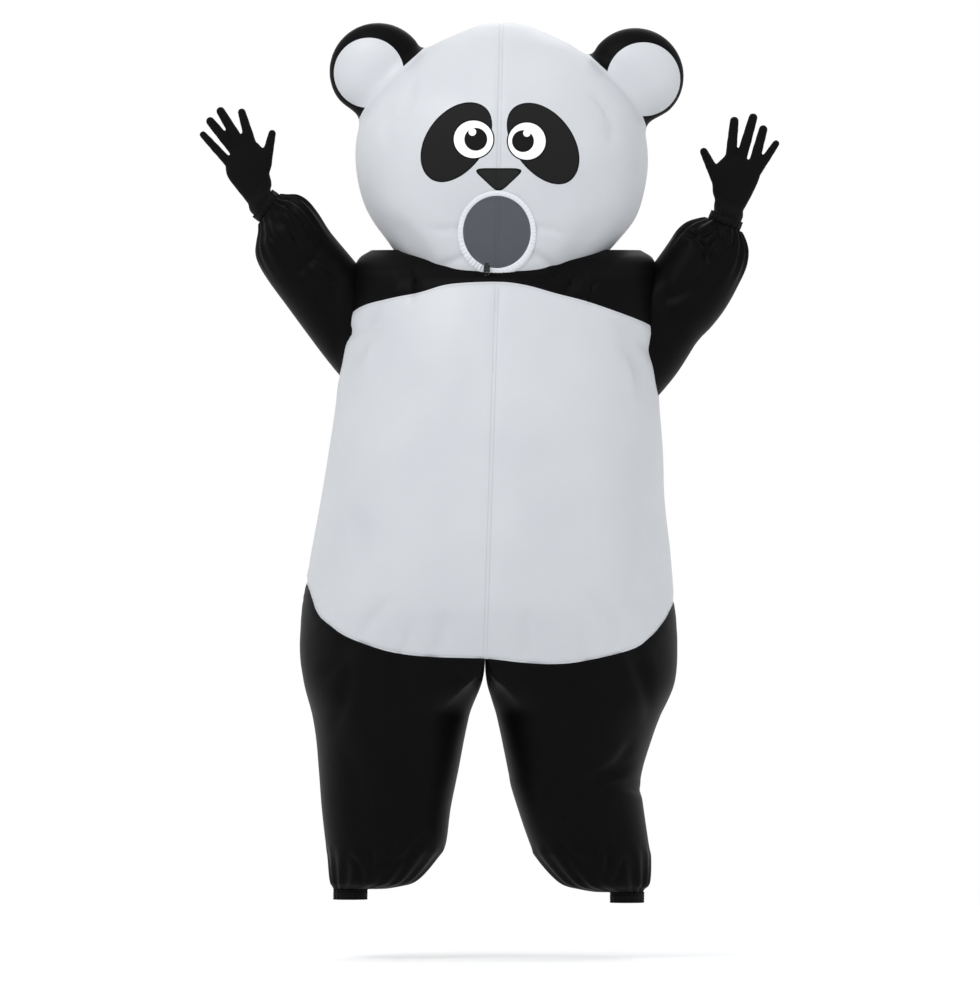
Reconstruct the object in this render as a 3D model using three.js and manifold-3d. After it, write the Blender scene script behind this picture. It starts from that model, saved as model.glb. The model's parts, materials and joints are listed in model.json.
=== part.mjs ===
// Inflatable panda costume, blown up in its worn pose. Millimetres, +Z up, front towards -Y.
// The origin is on the wearer's shoulder line, midway between front and back.
// "left" and "right" are the wearer's, so left is towards +X.
import * as THREE from 'three';
import { mergeVertices } from 'three/addons/utils/BufferGeometryUtils.js';
import Module from 'manifold-3d';

const wasm = await Module();
wasm.setup();

// Driving dimensions
const SEAM = 0.3; // gap between pieces that are sewn together
const CLOTH = 2.5; // wall of the coated taffeta, with its air-tight seams
const KNIT = 2; // wall of the gloves
const BODY_SIDES = 26; // facets round the body and the head
const LEG_SIDES = 16; // facets round a leg
const ARM_SIDES = 18; // facets round a sleeve and a wrist, three to each gather
const PALM_SIDES = 12;
const FINGER_SIDES = 6;
const DISC_SIDES = 16; // facets round the blower's rings
const FAR = 1500; // reach of a cutting prism past everything
const CROTCH = { x: -22, z: -818 };
const CUFF = { radius: 34, length: 20, gathers: 6 };
const FACE = { x: 4, z: 114, half: 78, tall: 83, dimple: 26, reach: 120 };
const BINDING = { width: 15, chin: 3, proud: 4, gathers: 16 };
const ZIP = { top: -18, bottom: -600, width: 30, thick: 1.4 };
const BLOWER = { x: -150, z: -500, bore: 43, wall: 2.5, flange: 56, deep: 34, proud: 3 };
const PULL = { width: 6, length: 30, thick: 1.8, eye: 2.2, hole: 1.3, pin: 1, height: 7.6 };

// A table is a list of rows, each an object with the named columns.
const table = (columns, rows) =>
  rows.map((row) => Object.fromEntries(columns.map((name, i) => [name, row[i]])));

// Torso sections: height, centre, half width, and depth in front of and behind the side seam
const TORSO = table(['z', 'x', 'half', 'front', 'back'], [
  [-860, -13, 412, 272, 246],
  [-800, -14, 415, 296, 266],
  [-745, -14, 413, 318, 281],
  [-693, -14, 408, 334, 292],
  [-583, -9, 394, 346, 300],
  [-473, -5, 378, 345, 300],
  [-363, 2, 367, 334, 292],
  [-253, 6, 355, 314, 276],
  [-143, 9, 349, 288, 254],
  [-11, 18, 340, 240, 212],
  [33, 22, 333, 205, 184],
  [60, 24, 322, 168, 152],
  [77, 24, 296, 118, 108],
]);

// Head sections, from inside the shoulders up to the crown
const HEAD = table(['z', 'x', 'half', 'front', 'back'], [
  [-15, 6, 160, 205, 150],
  [15, 8, 186, 221, 172],
  [92, 16, 249, 243, 222],
  [145, 18, 289, 252, 246],
  [198, 16, 310, 259, 262],
  [264, 15, 321, 263, 270],
  [330, 14, 317, 254, 262],
  [396, 16, 296, 232, 238],
  [455, 16, 247, 193, 196],
  [515, 15, 172, 138, 140],
  [545, 16, 118, 100, 100],
  [568, 16, 62, 56, 56],
  [577, 16, 24, 22, 22],
]);

// Leg sections below the crotch, down to the elastic at the ankle
const LEG_RIGHT = table(['z', 'x', 'half', 'front', 'back'], [
  [-832, -224, 194, 268, 244],
  [-911, -228, 179, 244, 224],
  [-990, -230, 164, 212, 198],
  [-1069, -234, 153, 180, 172],
  [-1148, -239, 142, 156, 154],
  [-1228, -240, 132, 136, 138],
  [-1258, -246, 121, 126, 130],
  [-1307, -266, 95, 92, 98],
  [-1322, -285, 70, 68, 74],
  [-1331, -318, 34, 36, 36],
  [-1350, -318, 34, 36, 36],
]);
const LEG_LEFT = table(['z', 'x', 'half', 'front', 'back'], [
  [-832, 190, 210, 268, 244],
  [-911, 186, 190, 246, 226],
  [-990, 180, 167, 214, 200],
  [-1069, 176, 147, 184, 174],
  [-1112, 180, 142, 168, 164],
  [-1228, 207, 131, 138, 140],
  [-1258, 216, 126, 126, 130],
  [-1312, 240, 98, 90, 96],
  [-1328, 258, 68, 66, 72],
  [-1338, 290, 34, 36, 36],
  [-1357, 290, 34, 36, 36],
]);

// Sleeve sections: centre, half width, depth, and the direction of the arm in degrees from +X.
// "pleat" is how deep the gathers of the elastic are there.
const SLEEVE_RIGHT = table(['x', 'z', 'half', 'depth', 'turn', 'pleat'], [
  [-214, -205, 92, 96, 128, 0],
  [-286, -121, 92, 97, 128, 0],
  [-340, -52, 91, 96, 128, 0],
  [-385, 6, 89, 94, 128, 0],
  [-427, 60, 87, 90, 129, 0],
  [-452, 100, 86, 86, 131, 1],
  [-468, 128, 80, 80, 135, 3],
  [-479, 147, 66, 67, 139, 5],
  [-489, 160, 48, 49, 142, 4],
  [-499, 172, 36, 36, 144, 0],
  [-515, 184, 34, 34, 144, 0],
]);
const SLEEVE_LEFT = table(['x', 'z', 'half', 'depth', 'turn', 'pleat'], [
  [250, -228, 92, 96, 53, 0],
  [319, -143, 95, 98, 53, 0],
  [367, -70, 95, 98, 54, 0],
  [400, -36, 94, 97, 55, 0],
  [430, 2, 93, 94, 56, 0],
  [458, 46, 90, 91, 58, 0],
  [477, 80, 85, 86, 61, 2],
  [490, 106, 72, 75, 64, 5],
  [499, 124, 54, 56, 66, 5],
  [505, 138, 36, 36, 68, 0],
  [512, 157, 34, 34, 68, 0],
]);

// The seam between yoke and belly, and between belly and legs, seen from the front
const YOKE_SEAM = table(['x', 'z'], [
  [-FAR, -92], [-345, -92], [-297, -50], [-231, -31], [-165, -18], [-99, 0], [4, 5],
  [66, -2], [132, -20], [198, -37], [264, -59], [330, -84], [360, -104], [FAR, -104],
]);
const HEM_SEAM = table(['x', 'z'], [
  [-FAR, -600], [-440, -610], [-411, -660], [-389, -719], [-361, -746], [-321, -772],
  [-246, -799], [-187, -810], [-121, -815], [CROTCH.x, CROTCH.z], [55, -826], [121, -830],
  [191, -824], [297, -799], [339, -772], [363, -746], [381, -719], [410, -660],
  [440, -610], [FAR, -600],
]);
// The centre seam, from the crown to the crotch
const CENTRE_SEAM = table(['x', 'z'], [
  [14, FAR], [14, 579], [7, 231], [4, 4], [-11, -473], [CROTCH.x, CROTCH.z], [CROTCH.x, -FAR],
]);

// Ears: the round lobe, and the white disc that the head front runs out into
const EARS = table(['side', 'x', 'z', 'radius', 'deep', 'discX', 'discZ', 'disc'], [
  ['right', -257, 470, 107, 62, -277, 466, 77],
  ['left', 308, 459, 107, 62, 326, 452, 81],
]);

// Gloves: the palm's sections past the wrist, then the fingers from root to tip
const PALM_RIGHT = table(['x', 'z', 'half', 'depth', 'turn'], [
  [-519, 202, 33, 23, 124], [-531, 229, 41, 20, 118],
  [-545, 265, 50, 18, 115], [-556, 298, 38, 13, 114],
]);
const FINGERS_RIGHT = table(['x', 'z', 'tipX', 'tipZ', 'root', 'tip'], [
  [-504, 268, -488, 342, 14, 8.5],
  [-533, 298, -559, 389, 13.5, 9],
  [-552, 298, -608, 391, 13, 9.8],
  [-571, 294, -632, 368, 12.5, 9.8],
  [-590, 275, -647, 337, 10.5, 8],
]);
const PALM_LEFT = table(['x', 'z', 'half', 'depth', 'turn'], [
  [515, 176, 34, 23, 74], [521, 205, 44, 20, 80],
  [531, 247, 52, 18, 81], [543, 278, 39, 13, 80],
]);
const FINGERS_LEFT = table(['x', 'z', 'tipX', 'tipZ', 'root', 'tip'], [
  [486, 238, 455, 302, 14, 9],
  [517, 272, 527, 371, 12.5, 10],
  [541, 278, 570, 378, 12.5, 10],
  [569, 268, 592, 352, 12, 9.8],
  [580, 256, 622, 318, 10.5, 8],
]);

// Solids and meshes

const solidOf = (geometry) => {
  const bare = geometry.clone();
  bare.deleteAttribute('normal');
  bare.deleteAttribute('uv');
  const merged = mergeVertices(bare, 1e-4);
  const vertProperties = new Float32Array(merged.attributes.position.array);
  const triVerts = new Uint32Array(merged.index.array);
  return new wasm.Manifold(new wasm.Mesh({ numProp: 3, vertProperties, triVerts }));
};

// The largest body of a solid, as a geometry: a cut can leave a crumb beside it
const geometryOf = (solid) => {
  const bodies = solid.decompose();
  const largest = bodies.reduce((a, b) => (b.volume() > a.volume() ? b : a));
  const mesh = largest.getMesh();
  const geometry = new THREE.BufferGeometry();
  geometry.setAttribute('position', new THREE.BufferAttribute(mesh.vertProperties, 3));
  geometry.setIndex(new THREE.BufferAttribute(mesh.triVerts, 1));
  return geometry;
};

// A closed skin over rings of equally many points, with a fan over each end
const loft = (rings) => {
  const sides = rings[0].length;
  const points = rings.flat();
  const faces = [];
  for (let i = 0; i + 1 < rings.length; i += 1) {
    for (let j = 0; j < sides; j += 1) {
      const a = i * sides + j;
      const b = i * sides + ((j + 1) % sides);
      faces.push(a, b, a + sides, b, b + sides, a + sides);
    }
  }
  for (const [ring, flip] of [[0, true], [rings.length - 1, false]]) {
    const middle = points.length;
    points.push(rings[ring].reduce((sum, p) => sum.add(p), new THREE.Vector3()).divideScalar(sides));
    for (let j = 0; j < sides; j += 1) {
      const a = ring * sides + j;
      const b = ring * sides + ((j + 1) % sides);
      faces.push(...(flip ? [b, a, middle] : [a, b, middle]));
    }
  }
  const geometry = new THREE.BufferGeometry().setFromPoints(points);
  geometry.setIndex(faces);
  geometry.computeVertexNormals();
  return turnedOutwards(geometry);
};

// Six times the volume that the faces enclose, negative when they point inwards
const signedVolume = (geometry) => {
  const { position } = geometry.attributes;
  const [a, b, c] = [new THREE.Vector3(), new THREE.Vector3(), new THREE.Vector3()];
  let sum = 0;
  for (let i = 0; i < geometry.index.count; i += 3) {
    a.fromBufferAttribute(position, geometry.index.getX(i));
    b.fromBufferAttribute(position, geometry.index.getX(i + 1));
    c.fromBufferAttribute(position, geometry.index.getX(i + 2));
    sum += a.dot(b.cross(c));
  }
  return sum;
};

const turnedOutwards = (geometry) => {
  if (signedVolume(geometry) < 0) {
    geometry.setIndex(Array.from(geometry.index.array).reverse());
    geometry.computeVertexNormals();
  }
  return geometry;
};

// The same skin moved outwards along its own normals, or inwards by a negative distance
const moved = (geometry, distance) => {
  const { position, normal } = geometry.attributes;
  const points = [];
  for (let i = 0; i < position.count; i += 1) {
    const point = new THREE.Vector3().fromBufferAttribute(position, i);
    points.push(point.addScaledVector(new THREE.Vector3().fromBufferAttribute(normal, i), distance));
  }
  const result = new THREE.BufferGeometry().setFromPoints(points);
  result.setIndex(geometry.index);
  return result;
};

// A blown-up form: its full volume, the hollow inside its wall, and the space it keeps others out of
const formOf = (geometry, wall = CLOTH) => {
  const full = solidOf(geometry);
  const hollow = solidOf(moved(geometry, -wall));
  return { full, hollow, reserve: solidOf(moved(geometry, SEAM)), shell: full.subtract(hollow) };
};

// Sections

const power = (value, exponent) => Math.sign(value) * Math.abs(value) ** exponent;
const ROUND = 2.25; // exponent of the rounded sections, where 2 is an ellipse
const sizeAt = (rows, z, column) => {
  const i = Math.max(1, rows.findIndex((row) => row.z >= z));
  const share = (z - rows[i - 1].z) / (rows[i].z - rows[i - 1].z);
  return THREE.MathUtils.lerp(rows[i - 1][column], rows[i][column], share);
};

// A level section, from the front (-Y) round through +X
const levelPoint = (row, angle) => {
  const across = power(Math.sin(angle), 2 / ROUND);
  const along = power(-Math.cos(angle), 2 / ROUND);
  const depth = along < 0 ? row.front : row.back;
  return new THREE.Vector3(row.x + row.half * across, depth * along, row.z);
};

const ring = (sides, point) =>
  Array.from({ length: sides }, (_, i) => point((2 * Math.PI * i) / sides));

// Depth of the soft hollow that the elastic draws in round the face opening
const dimple = (x, z) => {
  const across = (x - FACE.x) / FACE.reach;
  const up = (z - FACE.z) / FACE.reach;
  return FACE.dimple * Math.exp(-(across * across + up * up));
};

// Y of a form's front or back skin above a point (x, z)
const skinY = (rows, x, z, side) => {
  const across = Math.abs(x - sizeAt(rows, z, 'x')) / sizeAt(rows, z, 'half');
  const share = Math.max(0, 1 - across ** ROUND) ** (1 / ROUND);
  return side === 'front' ? -sizeAt(rows, z, 'front') * share : sizeAt(rows, z, 'back') * share;
};
const faceY = (x, z) => skinY(HEAD, x, z, 'front') + dimple(x, z);

// A section across a limb that runs in the XZ plane, with gathers in its outline
const limbPoint = (row, angle, gathers) => {
  const turn = THREE.MathUtils.degToRad(row.turn);
  const swell = (row.pleat ?? 0) * Math.cos(gathers * angle);
  const across = (row.half + swell) * Math.cos(angle);
  return new THREE.Vector3(
    row.x - across * Math.sin(turn),
    (row.depth + swell) * Math.sin(angle),
    row.z + across * Math.cos(turn),
  );
};

// Cutting prisms, drawn in the XZ plane and running along Y

const prism = (outline, front = -FAR, back = FAR) => {
  const shape = new THREE.Shape(outline.map(([x, z]) => new THREE.Vector2(x, z)));
  const geometry = new THREE.ExtrudeGeometry(shape, { depth: back - front, bevelEnabled: false });
  return solidOf(geometry.rotateX(Math.PI / 2).translate(0, back, 0));
};

const shifted = (curve, dx, dz) => curve.map(({ x, z }) => [x + dx, z + dz]);
const above = (curve) => prism([...shifted(curve, 0, SEAM / 2), [FAR, FAR], [-FAR, FAR]]);
const below = (curve) => prism([...shifted(curve, 0, -SEAM / 2), [FAR, -FAR], [-FAR, -FAR]]);
const leftOf = (curve) => prism([...shifted(curve, SEAM / 2, 0), [FAR, -FAR], [FAR, FAR]]);
const rightOf = (curve) => prism([...shifted(curve, -SEAM / 2, 0), [-FAR, -FAR], [-FAR, FAR]]);
const everywhere = [[-FAR, -FAR], [FAR, -FAR], [FAR, FAR], [-FAR, FAR]];
const inFront = prism(everywhere, -FAR, -SEAM / 2);
const behind = prism(everywhere, SEAM / 2, FAR);
const oval = (x, z, half, tall, sides = 28) =>
  ring(sides, (angle) => [x + half * Math.cos(angle), z + tall * Math.sin(angle)]);

// The blown-up forms

const torso = formOf(loft(TORSO.map((row) => ring(BODY_SIDES, (angle) => levelPoint(row, angle)))));
const headPoint = (row, angle) => {
  const point = levelPoint(row, angle);
  return point.y < 0 ? point.setY(point.y + dimple(point.x, point.z)) : point;
};
const head = formOf(loft(HEAD.map((row) => ring(BODY_SIDES, (angle) => headPoint(row, angle)))));
const sleeveOf = (rows) =>
  formOf(loft(rows.slice(0, -1).map((row) =>
    ring(ARM_SIDES, (angle) => limbPoint(row, angle, CUFF.gathers)))));
const sleeves = { right: sleeveOf(SLEEVE_RIGHT), left: sleeveOf(SLEEVE_LEFT) };

// An ear is a round lobe, flatter from front to back
const earOf = (ear) => {
  const lobe = new THREE.SphereGeometry(1, 15, 8);
  lobe.scale(ear.radius, ear.deep, ear.radius).translate(ear.x, 0, ear.z);
  lobe.deleteAttribute('normal');
  lobe.deleteAttribute('uv');
  const merged = mergeVertices(lobe, 1e-3);
  merged.computeVertexNormals();
  return formOf(merged);
};
const ears = EARS.map((ear) => ({ ...ear, ...earOf(ear) }));

// A leg's top section is half of the torso, closed by a straight inseam wall at the crotch.
// It turns into the leg's own rounded section over the first stretch of the thigh.
const THIGH = 130;
const OUTER_SHARE = 0.72; // share of the section's points on its outer side
const legPoint = (row, z, side, turn) => {
  const mirror = side === 'right' ? -1 : 1;
  const share = turn / (2 * Math.PI);
  const outer = share < OUTER_SHARE;
  const run = outer ? share / OUTER_SHARE : (share - OUTER_SHARE) / (1 - OUTER_SHARE);
  const corner = THREE.MathUtils.degToRad(35);
  const swing = outer
    ? (Math.PI + 2 * corner) * run - corner
    : Math.PI + corner + (Math.PI - 2 * corner) * run;
  const own = levelPoint(row, mirror * swing).setZ(z);
  const body = { ...TORSO[0], x: CROTCH.x };
  body.front = sizeAt(TORSO, Math.max(z, TORSO[0].z), 'front');
  body.back = sizeAt(TORSO, Math.max(z, TORSO[0].z), 'back');
  body.half = sizeAt(TORSO, Math.max(z, TORSO[0].z), 'half');
  body.x = sizeAt(TORSO, Math.max(z, TORSO[0].z), 'x');
  const half = levelPoint(body, mirror * Math.PI * (outer ? run : 1)).setZ(z);
  const wallX = CROTCH.x + mirror * (SEAM / 2);
  if (!outer) {
    half.set(wallX, THREE.MathUtils.lerp(body.back, -body.front, run), z);
  } else if (mirror * (half.x - wallX) < 0) {
    half.x = wallX;
  }
  const blend = THREE.MathUtils.smoothstep(CROTCH.z - z, 0, THIGH);
  return half.lerp(own, blend);
};
const legOf = (rows, side) => {
  const levels = [-560, -693, -745, CROTCH.z, -858];
  const upper = levels.map((z) => ({ row: rows[0], z }));
  const lower = rows.slice(1, -1).map((row) => ({ row, z: row.z }));
  const rings = [...upper, ...lower].map(({ row, z }) =>
    ring(LEG_SIDES, (turn) => legPoint(row, z, side, turn)));
  return formOf(loft(rings));
};
const legs = { right: legOf(LEG_RIGHT, 'right'), left: legOf(LEG_LEFT, 'left') };

const faceHole = prism(oval(FACE.x, FACE.z, FACE.half, FACE.tall), -FAR, 0);

// Costume

const materials = {
  white: new THREE.MeshStandardMaterial({ color: '#dfe1e5', roughness: 0.5 }),
  black: new THREE.MeshStandardMaterial({ color: '#141517', roughness: 0.5 }),
  knit: new THREE.MeshStandardMaterial({ color: '#0e0f10', roughness: 0.9 }),
  plastic: new THREE.MeshStandardMaterial({ color: '#17181a', roughness: 0.4 }),
  tape: new THREE.MeshStandardMaterial({ color: '#d8d9dc', roughness: 0.8 }),
  metal: new THREE.MeshStandardMaterial({ color: '#b9babd', roughness: 0.35, metalness: 0.8 }),
};
const costume = new THREE.Group();
const place = (name, geometry, material) => {
  const mesh = new THREE.Mesh(geometry, material);
  mesh.name = name;
  costume.add(mesh);
};

// Head, with the ears' hollows open to it
const halves = [['left', leftOf(CENTRE_SEAM)], ['right', rightOf(CENTRE_SEAM)]];
const headShell = ears.reduce((shell, ear) => shell.subtract(ear.hollow),
  head.shell.subtract(torso.hollow));
const DISC_BACK = -4; // how far back the white disc runs on the ear
const discOf = (ear, grow) => {
  const outline = oval(ear.discX, ear.discZ, ear.disc + grow, ear.disc + grow);
  return prism(outline, -FAR, DISC_BACK + grow);
};
for (const [side, half] of halves) {
  const ear = ears.find((lobe) => lobe.side === side);
  const disc = ear.shell.intersect(discOf(ear, 0)).subtract(head.hollow);
  const front = headShell.subtract(faceHole).intersect(inFront).add(disc).intersect(half);
  place(`head_front_${side}`, geometryOf(front), materials.white);
  place(`head_back_${side}`, geometryOf(headShell.intersect(behind).intersect(half)), materials.white);
  const back = ear.shell.subtract(discOf(ear, SEAM)).subtract(head.reserve);
  place(`ear_back_${side}`, geometryOf(back), materials.black);
}

// Torso: black yoke, white belly and back, with the neck and armholes open
const trunk = torso.shell
  .subtract(head.reserve)
  .subtract(sleeves.left.reserve)
  .subtract(sleeves.right.reserve);
const yoke = trunk.intersect(above(YOKE_SEAM));
const middle = trunk.intersect(below(YOKE_SEAM)).intersect(above(HEM_SEAM));

// The back panel's port for the blower. The blower's frame stands square on the panel,
// with its own +Z outwards.
const blowerY = skinY(TORSO, BLOWER.x, BLOWER.z, 'back');
const blowerTurn = Math.atan2(
  skinY(TORSO, BLOWER.x + 1, BLOWER.z, 'back') - skinY(TORSO, BLOWER.x - 1, BLOWER.z, 'back'), 2);
const ontoBack = (geometry) =>
  geometry.rotateX(-Math.PI / 2).rotateZ(blowerTurn).translate(BLOWER.x, blowerY, BLOWER.z);
const barrel = BLOWER.bore + BLOWER.wall;
const rod = (radius, low, high, sides = DISC_SIDES) =>
  new THREE.CylinderGeometry(radius, radius, high - low, sides)
    .rotateX(Math.PI / 2).translate(0, 0, (low + high) / 2);
const port = solidOf(ontoBack(rod(barrel + 2 * SEAM, -100, 100)));

place('yoke_front', geometryOf(yoke.intersect(inFront)), materials.black);
for (const [side, half] of halves) {
  place(`yoke_back_${side}`, geometryOf(yoke.intersect(behind).intersect(half)), materials.black);
  place(`belly_${side}`, geometryOf(middle.intersect(inFront).intersect(half)), materials.white);
  const panel = middle.intersect(behind).intersect(half).subtract(port);
  place(`back_${side}`, geometryOf(panel), materials.white);
}

// Sleeves, each with an elastic casing at the wrist and a glove that comes out of it.
// The space past a point of the arm, in the arm's direction, cuts a mouth open there.
const along = (row, distance) => {
  const turn = THREE.MathUtils.degToRad(row.turn);
  return { ...row, x: row.x + distance * Math.cos(turn), z: row.z + distance * Math.sin(turn) };
};
const past = (row) => {
  const size = 400;
  const block = new THREE.BoxGeometry(size, size, size).translate(size / 2, 0, 0);
  block.rotateY(-THREE.MathUtils.degToRad(row.turn)).translate(row.x, 0, row.z);
  return solidOf(block);
};
const tube = (rows, sides) => loft(rows.map((row) => ring(sides, (angle) => limbPoint(row, angle, 0))));
const fingerRows = ({ x, z, tipX, tipZ, root, tip }) => {
  const turn = THREE.MathUtils.radToDeg(Math.atan2(tipZ - z, tipX - x));
  const base = { x, z, turn };
  const length = Math.hypot(tipX - x, tipZ - z);
  const rows = [[-12, root], [length - tip, tip],
    [length - tip * 0.2, tip * 0.6]];
  return rows.map(([run, half]) => ({ ...along(base, run), half, depth: half }));
};
const arms = [
  ['right', SLEEVE_RIGHT, PALM_RIGHT, FINGERS_RIGHT],
  ['left', SLEEVE_LEFT, PALM_LEFT, FINGERS_LEFT],
];
for (const [side, rows, palm, fingers] of arms) {
  const elastic = rows.at(-2);
  const start = along(elastic, -CLOTH * 2);
  const end = along(elastic, CUFF.length - CLOTH * 2);
  const sleeve = sleeves[side].shell.subtract(torso.hollow).subtract(past(start));
  place(`sleeve_${side}`, geometryOf(sleeve), materials.black);
  const band = (radius, extra) => solidOf(tube([along(start, SEAM - extra), along(end, extra)]
    .map((row) => ({ ...row, half: radius, depth: radius })), ARM_SIDES));
  const casing = band(CUFF.radius + CLOTH, 0).subtract(band(CUFF.radius, 5));
  place(`wrist_cuff_${side}`, geometryOf(casing), materials.black);
  const wrist = CUFF.radius - 2 * SEAM;
  const mouth = along(start, -6);
  const cuffRows = [along(mouth, -8), along(end, 1)].map((row) => ({ ...row, half: wrist, depth: wrist }));
  const forms = [formOf(tube([...cuffRows, ...palm], PALM_SIDES), KNIT),
    ...fingers.map((finger) => formOf(tube(fingerRows(finger), FINGER_SIDES), KNIT))];
  const full = forms.reduce((sum, form) => sum.add(form.full), forms[0].full);
  const hand = forms.reduce((rest, form) => rest.subtract(form.hollow), full);
  const upstream = past({ ...mouth, turn: mouth.turn + 180 });
  place(`glove_${side}`, geometryOf(hand.subtract(upstream)), materials.knit);
}

// Legs, each with an elastic casing at the ankle
for (const [side, rows] of [['right', LEG_RIGHT], ['left', LEG_LEFT]]) {
  const [elastic, foot] = rows.slice(-2);
  const cut = elastic.z + CLOTH * 2;
  const floor = prism([[-FAR, -FAR], [FAR, -FAR], [FAR, cut + SEAM], [-FAR, cut + SEAM]]);
  const leg = legs[side].shell.intersect(below(HEM_SEAM)).subtract(floor);
  place(`leg_front_${side}`, geometryOf(leg.intersect(inFront)), materials.black);
  place(`leg_back_${side}`, geometryOf(leg.intersect(behind)), materials.black);
  const band = (radius, extra) =>
    solidOf(rod(radius, foot.z - extra, cut + extra, LEG_SIDES).translate(foot.x, 0, 0));
  const ankle = band(CUFF.radius + CLOTH, 0).subtract(band(CUFF.radius, 5));
  place(`ankle_cuff_${side}`, geometryOf(ankle), materials.black);
}

// Binding round the face opening: a gathered band that lies over the panel's edge
const bindingCorners = (angle, i) => {
  const chin = BINDING.chin * Math.max(0, -Math.sin(angle)) ** 3;
  const gather = i % 2 ? 0.9 : -0.9;
  const corners = [[-4, 0], [-4, 3], [3, BINDING.proud + gather], [BINDING.width - 4 + chin, 0]];
  return corners.map(([out, proud]) => {
    const x = FACE.x + (FACE.half + out) * Math.cos(angle);
    const z = FACE.z + (FACE.tall + out) * Math.sin(angle);
    return new THREE.Vector3(x, faceY(x, z) - SEAM - proud, z);
  });
};
const hoop = (sides, corners) => {
  const points = Array.from({ length: sides }, (_, i) => corners((2 * Math.PI * i) / sides, i));
  const count = points[0].length;
  const faces = [];
  for (let i = 0; i < sides; i += 1) {
    for (let j = 0; j < count; j += 1) {
      const [a, b] = [i * count + j, i * count + ((j + 1) % count)];
      const [c, d] = [((i + 1) % sides) * count + j, ((i + 1) % sides) * count + ((j + 1) % count)];
      faces.push(a, b, c, b, d, c);
    }
  }
  const geometry = new THREE.BufferGeometry().setFromPoints(points.flat());
  geometry.setIndex(faces);
  return turnedOutwards(geometry);
};
const binding = solidOf(hoop(2 * BINDING.gathers, bindingCorners))
  .subtract(head.reserve).subtract(torso.reserve);
place('face_binding', geometryOf(binding), materials.white);

// Cord lock on the drawcord's ends, at the lower right of the opening: a barrel with its
// plunger on top and the two knotted ends below
const LOCK = { x: -18, z: 34, radius: 7, tall: 15, plunger: 5, cord: 1.4 };
const CORD_ENDS = table(['x', 'length'], [[-3, 10], [3, 8]]);
const lockY = faceY(LOCK.x, LOCK.z) - 2 * SEAM - BINDING.proud - LOCK.radius;
const upright = (radius, low, high, x = 0) =>
  solidOf(rod(radius, low, high, 10).translate(LOCK.x + x, lockY, LOCK.z));
const lockBarrel = upright(LOCK.radius, -LOCK.tall / 2, LOCK.tall / 2)
  .add(upright(LOCK.radius * 0.6, 0, LOCK.tall / 2 + LOCK.plunger));
const lock = CORD_ENDS.reduce(
  (sum, end) => sum.add(upright(LOCK.cord, -LOCK.tall / 2 - end.length, 0, end.x)), lockBarrel);
place('cord_lock', geometryOf(lock), materials.plastic);

// Entry zip at the centre back: its tape lies on the seam, the slider is closed at the top
const seamX = (z) => THREE.MathUtils.mapLinear(z, 4, -473, 4, -11);
const zipY = (x, z) => skinY(TORSO, x, z, 'back') + SEAM;
const zipLevels = [ZIP.top, ...TORSO.map((row) => row.z).filter((z) => z < ZIP.top && z > ZIP.bottom)
  .reverse(), ZIP.bottom];
const tapeRing = (z) => {
  const across = [-ZIP.width / 2, 0, ZIP.width / 2].map((dx) => seamX(z) + dx);
  const under = across.map((x) => new THREE.Vector3(x, zipY(x, z), z));
  const over = across.map((x) => new THREE.Vector3(x, zipY(x, z) + ZIP.thick, z)).reverse();
  return [...under, ...over];
};
const tape = solidOf(loft(zipLevels.map(tapeRing))).subtract(torso.reserve);
place('zip_tape', geometryOf(tape), materials.tape);

// The slider's frame: +Y down the tape, +Z away from it
const slider = { x: seamX(ZIP.top - 20), z: ZIP.top - 20 };
slider.y = zipY(slider.x, slider.z) + ZIP.thick + SEAM;
slider.slope = Math.atan2(zipY(slider.x, slider.z - 10) - zipY(slider.x, slider.z + 10), 20);
const ontoTape = (geometry) => geometry.rotateX(-Math.PI / 2).rotateX(slider.slope)
  .translate(slider.x, slider.y, slider.z);
const block = (x, y, z, dx, dy, dz) =>
  solidOf(ontoTape(new THREE.BoxGeometry(dx, dy, dz).translate(x, y, z)));
const lugX = PULL.width / 2 + SEAM + 0.8;
const pin = new THREE.CylinderGeometry(PULL.pin, PULL.pin, 2 * lugX, 12).rotateZ(Math.PI / 2);
const body = [-1, 1].reduce(
  (sum, end) => sum.add(block(end * lugX, 0, 5, 1.6, 7, 9)),
  block(0, 0, 2, 12, 17, 3.4),
).add(solidOf(ontoTape(pin.translate(0, 0, PULL.height))));
place('zip_slider', geometryOf(body), materials.metal);

// The pull tab hangs down the tape on the slider's pin
const tabOutline = new THREE.Shape();
const neck = Math.asin(PULL.thick / 2 / PULL.eye);
tabOutline.absarc(0, 0, PULL.eye, neck, 2 * Math.PI - neck);
tabOutline.lineTo(PULL.length, -PULL.thick / 2);
tabOutline.lineTo(PULL.length, PULL.thick / 2);
tabOutline.holes.push(new THREE.Path().absarc(0, 0, PULL.hole, 0, 2 * Math.PI));
const tabForm = { depth: PULL.width, bevelEnabled: false, curveSegments: 8 };
const tab = new THREE.ExtrudeGeometry(tabOutline, tabForm);
tab.translate(0, 0, -PULL.width / 2).applyMatrix4(new THREE.Matrix4().makeBasis(
  new THREE.Vector3(0, 1, 0), new THREE.Vector3(0, 0, 1), new THREE.Vector3(1, 0, 0)));
place('zip_pull', geometryOf(solidOf(ontoTape(tab.translate(0, 0, PULL.height)))), materials.metal);

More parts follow.
